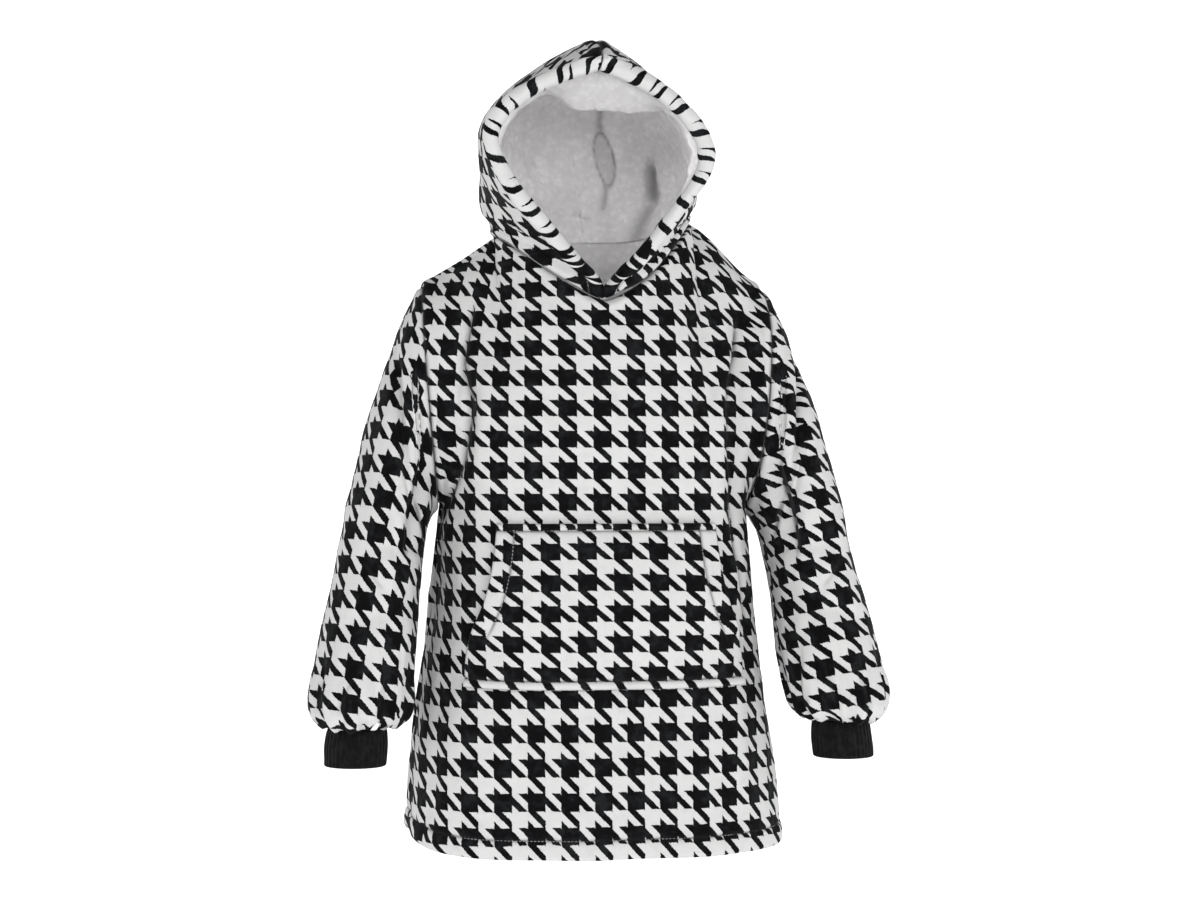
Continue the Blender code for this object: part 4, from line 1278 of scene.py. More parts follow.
        # Painted shade in the seam valleys, along the hem's fold and down each pleat; the inner face keeps it off its
        # top edge.
        crease_shade = seam_shade_of(valley) + 0.9 * bell(v - self.hem_fold, 0.0022)
        for pleat in PLEATS:
            if pleat.side is side:
                away, full = pleat_share(pleat, folded[..., 0], folded[..., 2])
                crease_shade = crease_shade + 0.9 * full * bell(away, PLEAT_BREADTH * 0.6)
        wall = ClothWall(
            name + "_cloth",
            middle + normals * np.maximum(half - valley, 0.001 - half)[..., None],
            middle - normals * (half - 0.0006 * bell(to_top, 0.012))[..., None],
            grain,
            turned_rows=turned,
            crease_shade=crease_shade,
            inner_crease_shade=crease_shade * smooth_step((to_top - 0.010) / 0.010),
        )
        return wall.build(fleece, sherpa)

    def edge_normals(self, normals: np.ndarray, across: np.ndarray, up: np.ndarray) -> np.ndarray:
        """Normals laid flat at the seams, so that neighbouring panels meet."""
        seam = np.abs(across) >= NECK_SHARE
        normals[-1, seam] = without(normals[-1, seam], 1)
        low = up <= UNDERARM_SHARE
        for column, hand in ((0, Hand.RIGHT), (-1, Hand.LEFT)):
            normals[low, column] = without(normals[low, column], 1)
            normals[:, column, 0] = hand.value * np.maximum(hand.value * normals[:, column, 0], 0.0)
            normals[:, column] /= np.linalg.norm(normals[:, column], axis=1, keepdims=True)
        return normals

    def hem_line(self, side: Side) -> np.ndarray:
        """The points of the hem's stitch line on a panel."""
        across = np.linspace(-1.0, 1.0, 241)
        up = np.array([0.0, self.hem_fold / 0.79, self.hem_fold / 0.79 + 0.01])
        plain = self.points(side, across, up)
        folded = self.folded(side, plain, grid_normals(plain) * -side.value)
        normals = grid_normals(folded) * -side.value
        return (folded - normals * 0.0020)[1]


@dataclass
class PocketCloth:
    """The front pocket, open at both slanted sides."""

    columns: int = 151
    row_count: int = 91
    side_hem: float = 0.022
    print_shift: tuple = (0.0389, 0.0336)
    print_scale: tuple = (0.975, 1.10)

    def surface(self, body: BodyCloth) -> tuple[np.ndarray, np.ndarray, np.ndarray]:
        """The front under the pocket.

        Args:
            body: The panels it is sewn to.

        Returns:
            Points, normals and each row's half width, rows from bottom to top.
        """
        low_z = POCKET_ROWS[0][0]
        high_z = POCKET_ROWS[-1][0]
        ends = np.array([0.0, 0.0006, 0.0014, 0.0024, 0.0036, 0.005, 0.0066, 0.0084, 0.0104])
        z = np.concatenate([low_z + ends, np.linspace(low_z + 0.0128, high_z - 0.0128, self.row_count - 2 * len(ends)), high_z - ends[::-1]])
        up = UNDERARM_SHARE * (z - HEM_Z) / (UNDERARM_Z - HEM_Z)
        across = np.linspace(-1.0, 1.0, 321)
        whole = body.points(Side.FRONT, across, up)
        whole = body.folded(Side.FRONT, whole, grid_normals(whole))
        normals = grid_normals(whole)
        half = curve_through([row[0] for row in POCKET_ROWS], [[row[1]] for row in POCKET_ROWS], z)
        share = np.linspace(-1.0, 1.0, self.columns)
        share = np.sign(share) * (1.0 - (1.0 - np.abs(share)) ** 1.18)
        points = np.empty((len(z), self.columns, 3))
        facing = np.empty_like(points)
        for row in range(len(z)):
            at = share * half[row, 0]
            for axis in range(3):
                points[row, :, axis] = np.interp(at, whole[row, :, 0], whole[row, :, axis])
                facing[row, :, axis] = np.interp(at, whole[row, :, 0], normals[row, :, axis])
        return points, facing / np.linalg.norm(facing, axis=2, keepdims=True), half

    def lift(self, base: np.ndarray, half: np.ndarray) -> np.ndarray:
        """How far the pocket stands off the front at each point."""
        z = base[..., 2]
        height = (z - POCKET_ROWS[0][0]) / (POCKET_ROWS[-1][0] - POCKET_ROWS[0][0])
        full = np.sin(math.pi * np.clip(height, 0.0, 1.0)) ** POCKET_FULL_POWER
        sewn = smooth_step((POCKET_SEWN_TOP - z) / POCKET_SEWN_FADE)
        sides = 1.0 - sewn * np.clip(np.abs(base[..., 0] / half), 0.0, 1.0) ** POCKET_SIDE_POWER
        return POCKET_LIFT + POCKET_FULLNESS * full * sides

    def build(self, body: BodyCloth, fleece: bpy.types.Material, sherpa: bpy.types.Material) -> bpy.types.Object:
        """The pocket.

        Args:
            body: The panels it is sewn to.
            fleece: Its outer cloth.
            sherpa: Its inner cloth.

        Returns:
            The piece.
        """
        base, normals, half_width = self.surface(body)
        lift = self.lift(base, half_width)
        run = lengths_along(base, 1)
        to_side = np.minimum(run, run[:, -1:] - run)
        climb = lengths_along(base, 0)
        to_top = climb[-1:] - climb
        centre = base.shape[1] // 2
        across = run - run[:, centre : centre + 1]
        grain = np.stack([across, climb], -1) * np.array(self.print_scale) + np.array(self.print_shift)
        open_side = smooth_step((base[..., 2] - POCKET_SEWN_TOP) / POCKET_SEWN_FADE + 1.0)
        calm = smooth_step(to_top / 0.02) * smooth_step(climb / 0.02)
        press = 0.0018 * soft_noise(across, climb, 0.06, 51) + 0.0009 * soft_noise(across, climb, 0.024, 52)
        press = press * calm * smooth_step(to_side / 0.02)
        press += 0.0036 * bell(to_top - 0.0088, 0.0024) * smooth_step(to_side / 0.008)
        press += 0.0028 * bell(climb - 0.0105, 0.0026)
        press -= 0.0030 * bell(climb - 0.0040, 0.0048) + 0.0024 * bell(to_top - 0.0035, 0.0040)
        press += 0.0030 * bell(to_side - self.side_hem, 0.0028) * open_side * smooth_step(to_top / 0.006)
        press += 0.0007 * soft_noise(across, climb, 0.010, 53) * (bell(to_side - 0.018, 0.010) * open_side + bell(to_top - 0.010, 0.008))
        press -= 0.0016 * bell(to_side - 0.010, 0.008) * open_side
        wall = POCKET_WALL / 2
        middle = base + normals * (lift + wall - press)[..., None]
        normals = grid_normals(middle)
        near = np.minimum(np.minimum(to_side, to_top), climb)
        roll = wall + 0.0012 * bell(to_top - 0.004, 0.0036) + 0.0012 * bell(climb - 0.004, 0.0042)
        radius = 0.0034
        rounded = np.sqrt(np.maximum(radius**2 - (radius - np.minimum(near, radius)) ** 2, 1e-9)) / radius
        thick = np.maximum(roll * rounded, 0.0004)
        # Painted shade in the stitch grooves and along the pocket's edges.
        groove_shade = bell(to_top - 0.0088, 0.0020) + bell(climb - 0.0105, 0.0022)
        groove_shade += bell(to_side - self.side_hem, 0.0020) * open_side * smooth_step(to_top / 0.006)
        wall = ClothWall(
            "pocket_cloth",
            middle + normals * thick[..., None],
            middle - normals * thick[..., None],
            grain,
            crease_shade=0.8 * groove_shade + 0.8 * bell(near, 0.0012),
        )
        return wall.build(fleece, sherpa)

    def stitch_lines(self, body: BodyCloth) -> list[np.ndarray]:
        """The lines the pocket is sewn along: its top, its bottom and its side hems."""
        base, normals, half_width = self.surface(body)
        lift = self.lift(base, half_width)
        face = base + normals * (lift + POCKET_WALL - 0.0014)[..., None]
        run = lengths_along(base, 1)
        climb = lengths_along(base, 0)[:, base.shape[1] // 2]
        top = int(np.argmin(np.abs(climb[-1] - climb - 0.0085)))
        low = int(np.argmin(np.abs(climb - 0.0090)))
        lines = [face[top, 3:-3], face[low, 3:-3]]
        open_rows = range(int(np.searchsorted(base[:, 0, 2], POCKET_SEWN_TOP)), top)
        for reach in (self.side_hem, None):
            side = []
            for row in open_rows:
                at = reach if reach is not None else run[row, -1] - self.side_hem
                side.append([np.interp(at, run[row], face[row, :, axis]) for axis in range(3)])
            lines.append(np.array(side))
        for column in (2, -3):
            lines.append(face[low : open_rows.start, column])
        return lines


@dataclass
class SleeveCloth:
    """A sleeve, from its drop-shoulder armhole to the seam where it gathers into the cuff."""

    columns: int = 171
    rows: int = 160
    print_shift: tuple = (0.010, 0.006)

    def ring(self, down: np.ndarray, turn: np.ndarray) -> np.ndarray:
        """Points of the left sleeve's ring at the share `down`, `turn` degrees round it."""
        knots = even_knots(np.array([(ring.outer_x, ring.outer_z) for ring in SLEEVE_RINGS]))
        sizes = curve_through(knots, np.array(SLEEVE_RINGS), down)
        outer = np.stack([sizes[..., 0], sizes[..., 4], sizes[..., 1]], axis=-1)
        inner = np.stack([sizes[..., 2], sizes[..., 4], sizes[..., 3]], axis=-1)
        angle = np.radians(turn)
        power = 2.0 / SLEEVE_SQUARENESS
        along = np.sign(np.cos(angle)) * np.abs(np.cos(angle)) ** power
        deep = np.sign(np.sin(angle)) * np.abs(np.sin(angle)) ** power
        points = (outer + inner) / 2 + (outer - inner) / 2 * along[..., None]
        points[..., 1] -= sizes[..., 5] * deep
        fade = 1.0 - smooth_step(down / ARMHOLE_BULGE_REACH)
        points[..., 0] += ARMHOLE_BULGE * fade * np.abs(np.sin(angle))
        return points

    @staticmethod
    def along_axis(points: np.ndarray) -> tuple[np.ndarray, np.ndarray]:
        """The sleeve's direction at each row, and each point's distance down along it."""
        way = np.gradient(points[:, :-1].mean(axis=1), axis=0)
        way /= np.linalg.norm(way, axis=1, keepdims=True)
        middle = (way[1:] + way[:-1]) / 2
        steps = np.sum(np.diff(points, axis=0) * middle[:, None, :], axis=2)
        return way, np.cumsum(np.pad(steps, [(1, 0), (0, 0)]), axis=0)

    def build(self, hand: Hand, fleece: bpy.types.Material, sherpa: bpy.types.Material) -> bpy.types.Object:
        """One sleeve.

        Args:
            hand: Which sleeve.
            fleece: Its outer cloth.
            sherpa: Its inner cloth.

        Returns:
            The piece.
        """
        turn = np.linspace(-180.0, 180.0, self.columns)
        down = np.linspace(0.0, 1.0, self.rows) ** 0.92
        down, turn = np.broadcast_arrays(down[:, None], turn[None, :])
        plain = self.ring(down, turn)
        normals = grid_normals(plain, closed=True)
        if np.mean(normals[self.rows // 2, self.columns // 2]) < 0:
            normals = -normals
        facing = float(np.sign(np.mean(np.sum(normals * grid_normals(plain, closed=True), axis=2))))
        round_turn = np.mod(turn, FULL_TURN)
        press = np.zeros(plain.shape[:2])
        for folds in (SLEEVE_CREASES, SLEEVE_FOLDS):
            sharp = press.copy()
            for fold in folds:
                for lap in (-FULL_TURN, 0.0, FULL_TURN):
                    spot = np.stack([np.radians(round_turn + lap) * TURN_LENGTH, down * SLEEVE_LENGTH], -1)
                    start = (math.radians(fold.turn0) * TURN_LENGTH, fold.down0 * SLEEVE_LENGTH)
                    end = (math.radians(fold.turn1) * TURN_LENGTH, fold.down1 * SLEEVE_LENGTH)
                    press += trough(start, end, spot, fold.half_breadth, fold.depth)
        gathered = smooth_step((down - GATHER_START) / (GATHER_FULL - GATHER_START))
        gathered = gathered * (1.0 - smooth_step((down - GATHER_FADE) / (1.0 - GATHER_FADE)))
        wander = 8.0 * soft_noise(turn / FULL_TURN + 0.5, down, 0.2, 70 + hand.value, 9)
        press += GATHER_DEPTH * gathered * np.cos(np.radians(turn + wander) * GATHER_COUNT)
        press += 0.0010 * gathered * np.cos(np.radians(turn + 2 * wander) * 31)
        climb = lengths_along(plain, 0)
        edge = smooth_step(climb / 0.016) * smooth_step((1.0 - down) / 0.012)
        folded = plain - normals * (press * edge)[..., None]
        to_cuff = climb[-1:] - climb
        share = turn / FULL_TURN + 0.5
        first_gather = int(np.searchsorted(down[:, 0], GATHER_START))
        way, reach = self.along_axis(plain)
        rise = np.sum(plain * way[:, None, :], axis=2)
        along = np.where(
            np.arange(self.rows)[:, None] < first_gather,
            to_cuff[first_gather] + reach[first_gather] - reach,
            to_cuff,
        )
        ripple = 0.0022 * soft_noise(share, climb, 0.070, 80 + hand.value, 7)
        ripple += 0.0010 * soft_noise(share, climb, 0.030, 84 + hand.value, 17)
        ripple += 0.0004 * soft_noise(share, climb, 0.012, 88 + hand.value, 41)
        ripple = ripple * edge
        valley = seam_valley(climb) + seam_valley(to_cuff)
        pull = soft_noise(share, climb, 0.02, 90 + hand.value, 37)
        ripple += 0.0010 * pull * bell(climb - 0.007, 0.009) * smooth_step(climb / 0.003)
        normals = grid_normals(folded, closed=True) * facing
        across = across_grain(plain, rise)
        centre = self.columns // 2
        across = across - across[:, centre : centre + 1]
        girth = (across[:, -1] - across[:, 0])[:, None]
        uncut = np.where(np.arange(self.rows)[:, None] > first_gather, girth[first_gather], girth)
        across = across / girth * uncut * -hand.value
        guess = np.stack([across, along], -1)
        rows = np.linspace(0, self.rows - 1, 30).round().astype(int)
        columns = np.linspace(0, self.columns - 1, 31).round().astype(int)
        coarse = np.ix_(rows, columns)
        flat = laid_flat(plain[coarse], guess[coarse] * np.array([-hand.value, 1.0]), 2500)
        lower = (down[coarse] > 0.35) & (down[coarse] < 0.85) & (np.abs(turn[coarse]) < 120.0)
        flat = turned_onto(flat * np.array([-hand.value, 1.0]), guess[coarse], lower * 1.0)
        flat = resampled(flat, rows, np.arange(self.rows), columns, np.arange(self.columns))
        grain = flat + np.array(self.print_shift)
        middle = folded - normals * (ripple + BODY_WALL / 2)[..., None]
        normals = grid_normals(middle, closed=True) * facing
        normals[0] = without(normals[0], 0)
        normals[-1] = without(normals[-1], 2)
        half = BODY_WALL / 2
        wall = ClothWall(
            f"sleeve_{hand.word}_cloth",
            (middle + normals * (half - valley)[..., None]) * hand.mirror,
            (middle - normals * half) * hand.mirror,
            grain,
            closed=True,
            # Painted shade in the seam valleys and the sharp creases.
            crease_shade=seam_shade_of(valley) + smooth_step((sharp - 0.0020) / 0.0030),
        )
        return wall.build(fleece, sherpa)


@dataclass
class CuffKnit:
    """A rib-knit cuff, folded double at its mouth."""

    ribs: int = 36
    steps_a_rib: int = 8
    height: float = 0.046
    inset: float = 0.0004
    flare: float = 0.0015
    lean_x: float = 0.003
    lean_y: float = -0.003
    rib_height: float = 0.0011

    def build(self, hand: Hand, knit: bpy.types.Material) -> bpy.types.Object:
        """One cuff, of the given knit."""
        last = SLEEVE_RINGS[-1]
        top_radius = (last.outer_x - last.inner_x) / 2 - self.inset
        middle_x = (last.outer_x + last.inner_x) / 2
        shares = np.concatenate([[0.0, 0.012, 0.03], np.linspace(0.06, 0.90, 22), [0.93, 0.955, 0.975, 0.988, 0.996, 1.0]])
        down = shares[:, None]
        angle = np.linspace(0.0, math.tau, self.ribs * self.steps_a_rib + 1)[None, :]
        along = down * self.height
        wobble = 0.12 * soft_noise(angle / math.tau, along, 0.012, 95 + hand.value, 11)
        rib = np.cos((angle + 0.02 * wobble) * self.ribs)
        rib = self.rib_height * np.sign(rib) * np.abs(rib) ** 0.7 / 2
        squeeze = 0.0008 * soft_noise(angle / math.tau, along, 0.020, 97 + hand.value, 5)
        bulge = 0.0012 * np.sin(math.pi * np.clip(down, 0.0, 1.0)) - 0.0008 * bell(down, 0.06)
        middle = top_radius - CUFF_WALL / 2 + self.flare * down + bulge + squeeze
        to_mouth = (1.0 - down) * self.height
        radius = 0.0026
        rounded = np.sqrt(np.maximum(radius**2 - (radius - np.minimum(to_mouth, radius)) ** 2, 1e-9)) / radius
        half = CUFF_WALL / 2 * rounded
        x = middle_x + self.lean_x * down
        y = last.middle_y + self.lean_y * down
        z = last.outer_z - along
        grids = []
        for size in (middle + half + rib * rounded, middle - half + rib * 0.4 * rounded):
            ring = np.stack([x + size * np.cos(angle), y - size * np.sin(angle), z + 0.0 * size], -1)
            grids.append(ring * hand.mirror)
        grain = np.stack(np.broadcast_arrays(angle * top_radius, -along), -1)
        return ClothWall(f"cuff_{hand.word}_knit", grids[0], grids[1], grain, closed=True).build(knit, knit)


@dataclass
class HoodCloth:
    """The hood: two halves with a rolled face edge, and their sherpa lining."""

    rows: int = 150
    rim_columns: int = 30
    rim_reach: float = 0.030
    rest_columns: int = 120
    lining_rows: int = 144
    lining_columns: int = 144
    print_shift: tuple = (0.0, 0.010)
    lining_loft: float = 0.0060
    sag_z: float = 0.171
    sag_y: float = -0.100
    lens_x: float = 0.044
    lens_z: float = 0.127
    lens_half_width: float = 0.0135
    lens_half_height: float = 0.038
    lining_folds: tuple = (
        LiningFold((0.108, 0.118), (0.100, 0.052), 0.009, 0.013, False, 1.0),
        LiningFold((0.100, 0.056), (0.060, -0.006), 0.010, 0.011, False, 0.7),
        LiningFold((0.042, 0.092), (0.032, 0.050), 0.0035, 0.0065, True, 0.55),
        LiningFold((0.044, 0.215), (0.045, 0.160), 0.0040, 0.0060, True, 0.6),
        LiningFold((0.032, 0.055), (0.040, 0.010), 0.012, 0.005, True, 0.15),
        LiningFold((-0.010, 0.046), (0.012, 0.038), 0.004, 0.005, True, 0.3),
        LiningFold((-0.050, 0.175), (-0.060, 0.110), 0.016, 0.004, True, 0.1),
    )
    cross_past: float = 0.010
    cross_forward: float = 0.008
    hem_reach: float = 0.0205
    hem_shift: tuple = (0.0310, 0.0100)
    print_dip: float = 9.0
    print_slack: float = 0.34
    wide_by: float = 0.019
    wide_z: float = 0.130
    wide_reach: float = 0.052

    def fine_rows(self, count: int, body: BodyCloth) -> np.ndarray:
        """Fine rows of the left half, from the face edge to the crown seam."""
        face = np.array(FACE_EDGE)
        seam = np.array([(0.0, y, z) for y, z in CROWN_SEAM])
        up = np.linspace(0.0, 1.0, count)
        starts = curve_through(even_knots(face), face, up)[:, None, :]
        ends = curve_through(even_knots(seam), seam, up)[:, None, :]
        length = np.linalg.norm(ends - starts, axis=2, keepdims=True)
        form = curve_through([row.up for row in HOOD_FORM], [row[1:] for row in HOOD_FORM], up)
        backward = smooth_step(up / NECK_STRAIGHTENS)
        leave = np.stack([form[:, 0], 0.15 + 0.85 * backward, 0.2 * (1.0 - backward)], axis=-1)
        leave = leave[:, None, :] * length * FACE_PULL
        arrive = np.array([-1.0, 0.0, 0.0]) * length * form[:, None, 1:2]
        t = np.linspace(0.0, 1.0, FINE_POINTS)
        plain = hermite(starts, ends, leave, arrive, t[None, :, None])
        turn = t * 180.0
        front = body.neckline(Side.FRONT, np.minimum(turn, 90.0))
        back = body.neckline(Side.BACK, np.minimum(180.0 - turn, 90.0))
        neck = np.where((turn <= 90.0)[:, None], front, back)
        fade = (1.0 - up) ** NECK_BLEND_POWER
        fade = fade * (1.0 - smooth_step((up - NECK_BLEND_TOP) / (1.0 - NECK_BLEND_TOP)))
        return plain + (neck - plain[0])[None] * fade[:, None, None]

    def grid(self, count: int, reaches: np.ndarray, body: BodyCloth) -> tuple[np.ndarray, np.ndarray, np.ndarray]:
        """A grid on the left half.

        Args:
            count: How many rows.
            reaches: Where the columns stand: metres behind the face edge up to the
                rim's reach, then 1 to 2 for the share of the rest.
            body: The panels whose neckline it is sewn to.

        Returns:
            The points, each one's distance behind the face edge, and its normals.
        """
        fine = self.fine_rows(count, body)
        steps = np.linalg.norm(np.diff(fine, axis=1), axis=2)
        walked = np.concatenate([np.zeros((count, 1)), np.cumsum(steps, axis=1)], axis=1)
        length = np.maximum(walked[:, -1:], 1e-9)
        share = np.clip(reaches - 1.0, 0.0, 1.0)[None, :]
        away = np.where(reaches[None, :] < 1.0, reaches[None, :], self.rim_reach + (length - self.rim_reach) * share)
        away = np.minimum(np.where(length > self.rim_reach, away, np.minimum(reaches[None, :], length)), length)
        points = np.empty((count, len(reaches), 3))
        for row in range(count):
            for axis in range(3):
                points[row, :, axis] = np.interp(away[row], walked[row], fine[row, :, axis])
        normals = grid_normals(points)
        normals[-1] = PEAK_NORMAL
        normals[:, -1] = without(normals[:, -1], 0)
        normals[0] = without(normals[0], 2)
        return points, away, normals

    @staticmethod
    def rim_half_thickness(away: np.ndarray) -> np.ndarray:
        """Half the wall's thickness: a rounded roll at the face edge, then the wall."""
        inside = np.maximum(RIM_RADIUS**2 - (away - RIM_RADIUS) ** 2, 0.0)
        least = np.where(away < RIM_RADIUS, RIM_NOSE * smooth_step(away / 0.0012 + 0.1), HOOD_WALL) / 2
        return np.maximum(np.sqrt(inside), least)

    def reaches(self, lengths: np.ndarray) -> np.ndarray:
        """What `grid` takes for columns at these shares: 0 to 1 the rim, 1 to 9 the rest."""
        return np.where(lengths < 1.0, lengths * self.rim_reach, 1.0 + (lengths - 1.0) / REST_PER_RIM)

    def print_map(self, count: int, reaches: np.ndarray, body: BodyCloth) -> np.ndarray:
        """The print's coordinates on a half, from its cloth laid flat.

        Args:
            count: How many rows the half's grid has.
            reaches: Where its columns stand.
            body: The panels it is sewn to.

        Returns:
            The coordinates, before the right half is mirrored.
        """
        lengths = np.linspace(0.0, 1.0 + REST_PER_RIM, 28)
        points, away, _ = self.grid(32, self.reaches(lengths), body)
        height = lengths_along(points, 0)
        guess = np.stack([away, height.mean(axis=1, keepdims=True) + 0.0 * away], -1)
        level = np.stack([away, points[..., 2]], -1)
        dip = math.radians(self.print_dip)
        guide = np.stack(
            [
                level[..., 0] * math.cos(dip) + level[..., 1] * math.sin(dip),
                level[..., 1] * math.cos(dip) - level[..., 0] * math.sin(dip),
            ],
            -1,
        )
        near = np.zeros(away.shape)
        near[2:16] = bell(away[2:16] - 0.08, 0.07)
        flat = turned_onto(laid_flat(points, guess, 4000), guide, near)
        flat[..., 0] -= self.print_slack * 0.09 * np.tanh(away / 0.09)
        rows = np.linspace(0.0, 1.0, 32)
        at = np.where(reaches < 1.0, reaches / self.rim_reach, 1.0 + (reaches - 1.0) * REST_PER_RIM)
        return resampled(flat, rows, np.linspace(0.0, 1.0, count), lengths, at)

    def as_hung(self, points: np.ndarray, away: np.ndarray, hand: Hand) -> np.ndarray:
        """Sets one half's face edge as it hangs.

        The left half's lower rim laps over the right's at the point of the neck, and
        the right half's edge stands wider beside the temple.

        Args:
            points: The half's points, before it is mirrored.
            away: Each point's distance behind the face edge.
            hand: Which half.

        Returns:
            The moved points.
        """
        up = np.linspace(0.0, 1.0, len(points))[:, None]
        near = (1.0 - smooth_step(up / 0.085)) * (1.0 - smooth_step((away - 0.010) / 0.045))
        moved = points.copy()
        if hand is Hand.RIGHT:
            beside = bell(points[..., 2] - self.wide_z, self.wide_reach)
            moved[..., 0] += self.wide_by * beside * (1.0 - smooth_step((away - 0.012) / 0.060))
        if hand is Hand.LEFT:
            moved[..., 0] -= self.cross_past * near
            moved[..., 1] -= self.cross_forward * near
        else:
            moved[..., 1] += 0.002 * near
        return moved

    def half(self, hand: Hand, body: BodyCloth, fleece: bpy.types.Material, sherpa: bpy.types.Material) -> bpy.types.Object:
        """One half of the outer cloth.

        Args:
            hand: Which half.
            body: The panels it is sewn to.
            fleece: Its outer cloth.
            sherpa: Not used; the inner face shows the fleece.

        Returns:
            The piece.
        """
        rim = np.linspace(0.0, 1.0, self.rim_columns) ** 1.3 * self.rim_reach
        reaches = np.concatenate([rim, 1.0 + np.linspace(0.0, 1.0, self.rest_columns + 1)[1:]])
        points, away, normals = self.grid(self.rows, reaches, body)
        climb = lengths_along(points, 0)[:, :1] + 0.0 * away
        to_crown = away[:, -1:] - away
        to_peak = climb[-1:] - climb
        edge = smooth_step(to_crown / 0.014) * smooth_step(climb / 0.014) * smooth_step(to_peak / 0.02)
        seed = 110 + hand.value
        cloth = smooth_step((away - 0.020) / 0.010)
        press = 0.0024 * soft_noise(away, climb, 0.070, seed) + 0.0011 * soft_noise(away, climb, 0.028, seed + 2)
        press = (press + 0.0004 * soft_noise(away, climb, 0.012, seed + 4)) * edge * cloth
        press += 0.0012 * bell(away - 0.0215, 0.0024) * smooth_step(climb / 0.01)
        valley = seam_valley(to_crown) * smooth_step(to_peak / 0.01) + seam_valley(climb) * cloth
        valley = 0.75 * valley * smooth_step((away - 0.016) / 0.01)
        pinch = soft_noise(away * 0.2, climb, 0.016, seed + 6) + 0.5 * soft_noise(away * 0.3, climb, 0.007, seed + 8)
        pinch = 0.0011 * pinch * smooth_step(climb / 0.02) * smooth_step(to_peak / 0.008)
        half = self.rim_half_thickness(away) + pinch * bell(away - RIM_RADIUS, 0.008)
        mirror = np.array([hand.value, 1.0])
        grain = self.print_map(self.rows, reaches, body) * mirror + np.array(self.print_shift)
        hem_shift = self.hem_shift[0] if hand is Hand.LEFT else self.hem_shift[1]
        hem_shift = hem_shift + 0.0060 * soft_noise(0.0 * away, climb, 0.055, seed + 10)
        hem_shift = hem_shift - hand.value * 0.015 * bell(climb - 0.02, 0.09)
        run = 1.2 * climb + 0.004 * soft_noise(0.0 * away, climb, 0.05, seed + 12)
        over_edge = np.stack([hem_shift + 0.72 * away, run], -1) * mirror
        inner_grain = np.stack([hem_shift - 0.72 * away, run], -1) * mirror
        grain = np.where((away < self.hem_reach)[..., None], over_edge, grain)
        middle = self.as_hung(points - normals * press[..., None], away, hand)
        outer = middle + normals * np.maximum(half - valley, 0.0012 - half)[..., None]
        inner = middle - normals * half[..., None]
        if hand is Hand.RIGHT:
            outer[..., 0] = np.maximum(outer[..., 0], 0.0)
            inner[..., 0] = np.maximum(inner[..., 0], 0.0)
        # Painted shade in the seam valleys and along the rim's stitch groove.
        crease_shade = seam_shade_of(valley / 0.75) + 0.8 * bell(away - 0.0215, 0.0018)
        wall = ClothWall(f"hood_{hand.word}_cloth", outer * hand.mirror, inner * hand.mirror, grain, crease_shade=crease_shade)
        wall.inner_grain = inner_grain
        return wall.build(fleece, fleece)

    def lining(self, hand: Hand, body: BodyCloth, sherpa: bpy.types.Material) -> bpy.types.Object:
        """One half of the lining, with its seam's pucker and its slack folds, and painted shade in the folds, round the
        pucker and on the lit band under the peak.

        Args:
            hand: Which half.
            body: The panels it is sewn to.
            sherpa: Its cloth.

        Returns:
            The piece.
        """
        start = 0.014
        rim = np.linspace(start, self.rim_reach, 12)
        reaches = np.concatenate([rim, 1.0 + np.linspace(0.0, 1.0, self.lining_columns - 11)[1:]])
        points, away, normals = self.grid(self.lining_rows, reaches, body)
        climb = lengths_along(points, 0)[:, :1] + 0.0 * away
        to_crown = away[:, -1:] - away
        to_peak = climb[-1:] - climb
        edge = smooth_step(to_peak / 0.03) * smooth_step((away - start) / 0.012)
        seed = 140 + hand.value
        x = hand.value * points[..., 0]
        z = points[..., 2]
        deep = smooth_step((points[..., 1] - 0.02) / 0.06)
        ripple = 0.0032 * soft_noise(away, climb, 0.055, seed) + 0.0022 * soft_noise(away, climb, 0.024, seed + 2)
        proud = self.lining_loft + ripple * smooth_step(to_crown / 0.030)
        y = points[..., 1]
        sag = np.clip(z - self.sag_z, 0.0, 0.065) * bell(y - self.sag_y, 0.020) * smooth_step((y + 0.134) / 0.018)
        sag = sag * smooth_step((x + 0.085) / 0.060)
        spot = np.stack([x, z], -1)
        hollow_shade = np.zeros_like(z)
        for fold in self.lining_folds:
            place = deep if fold.deep else smooth_step((points[..., 1] + 0.07) / 0.05)
            sunk = trough(fold.start, fold.end, spot, fold.half_breadth, fold.depth) * place
            proud = proud - sunk
            # Painted shade in each fold, as much as its shade asks.
            hollow_shade = np.maximum(hollow_shade, sunk / fold.depth * fold.shade)
        proud = proud + 0.010 * bell(x - 0.120, 0.022) * bell(z - 0.085, 0.050)
        curls = 0.0012 * soft_noise(away, climb, 0.0080, seed + 4) + 0.0008 * soft_noise(away, climb, 0.0045, seed + 6)
        from_lens = (x - self.lens_x) / self.lens_half_width
        lens = from_lens**2 + (np.abs(z - self.lens_z) / self.lens_half_height) ** 1.6
        sink = 0.0060 * smooth_step((1.0 - lens) / 0.35) * deep
        sink = sink + 0.0050 * bell(lens - 1.0, 0.20) * deep
        proud = proud + 0.0030 * bell(lens - 1.75, 0.45) * deep
        # Painted shade round the pucker's rim and inside it.
        hollow_shade = np.maximum(hollow_shade, (0.75 * bell(lens - 1.0, 0.13) + 0.25 * smooth_step((1.0 - lens) / 0.3)) * deep)
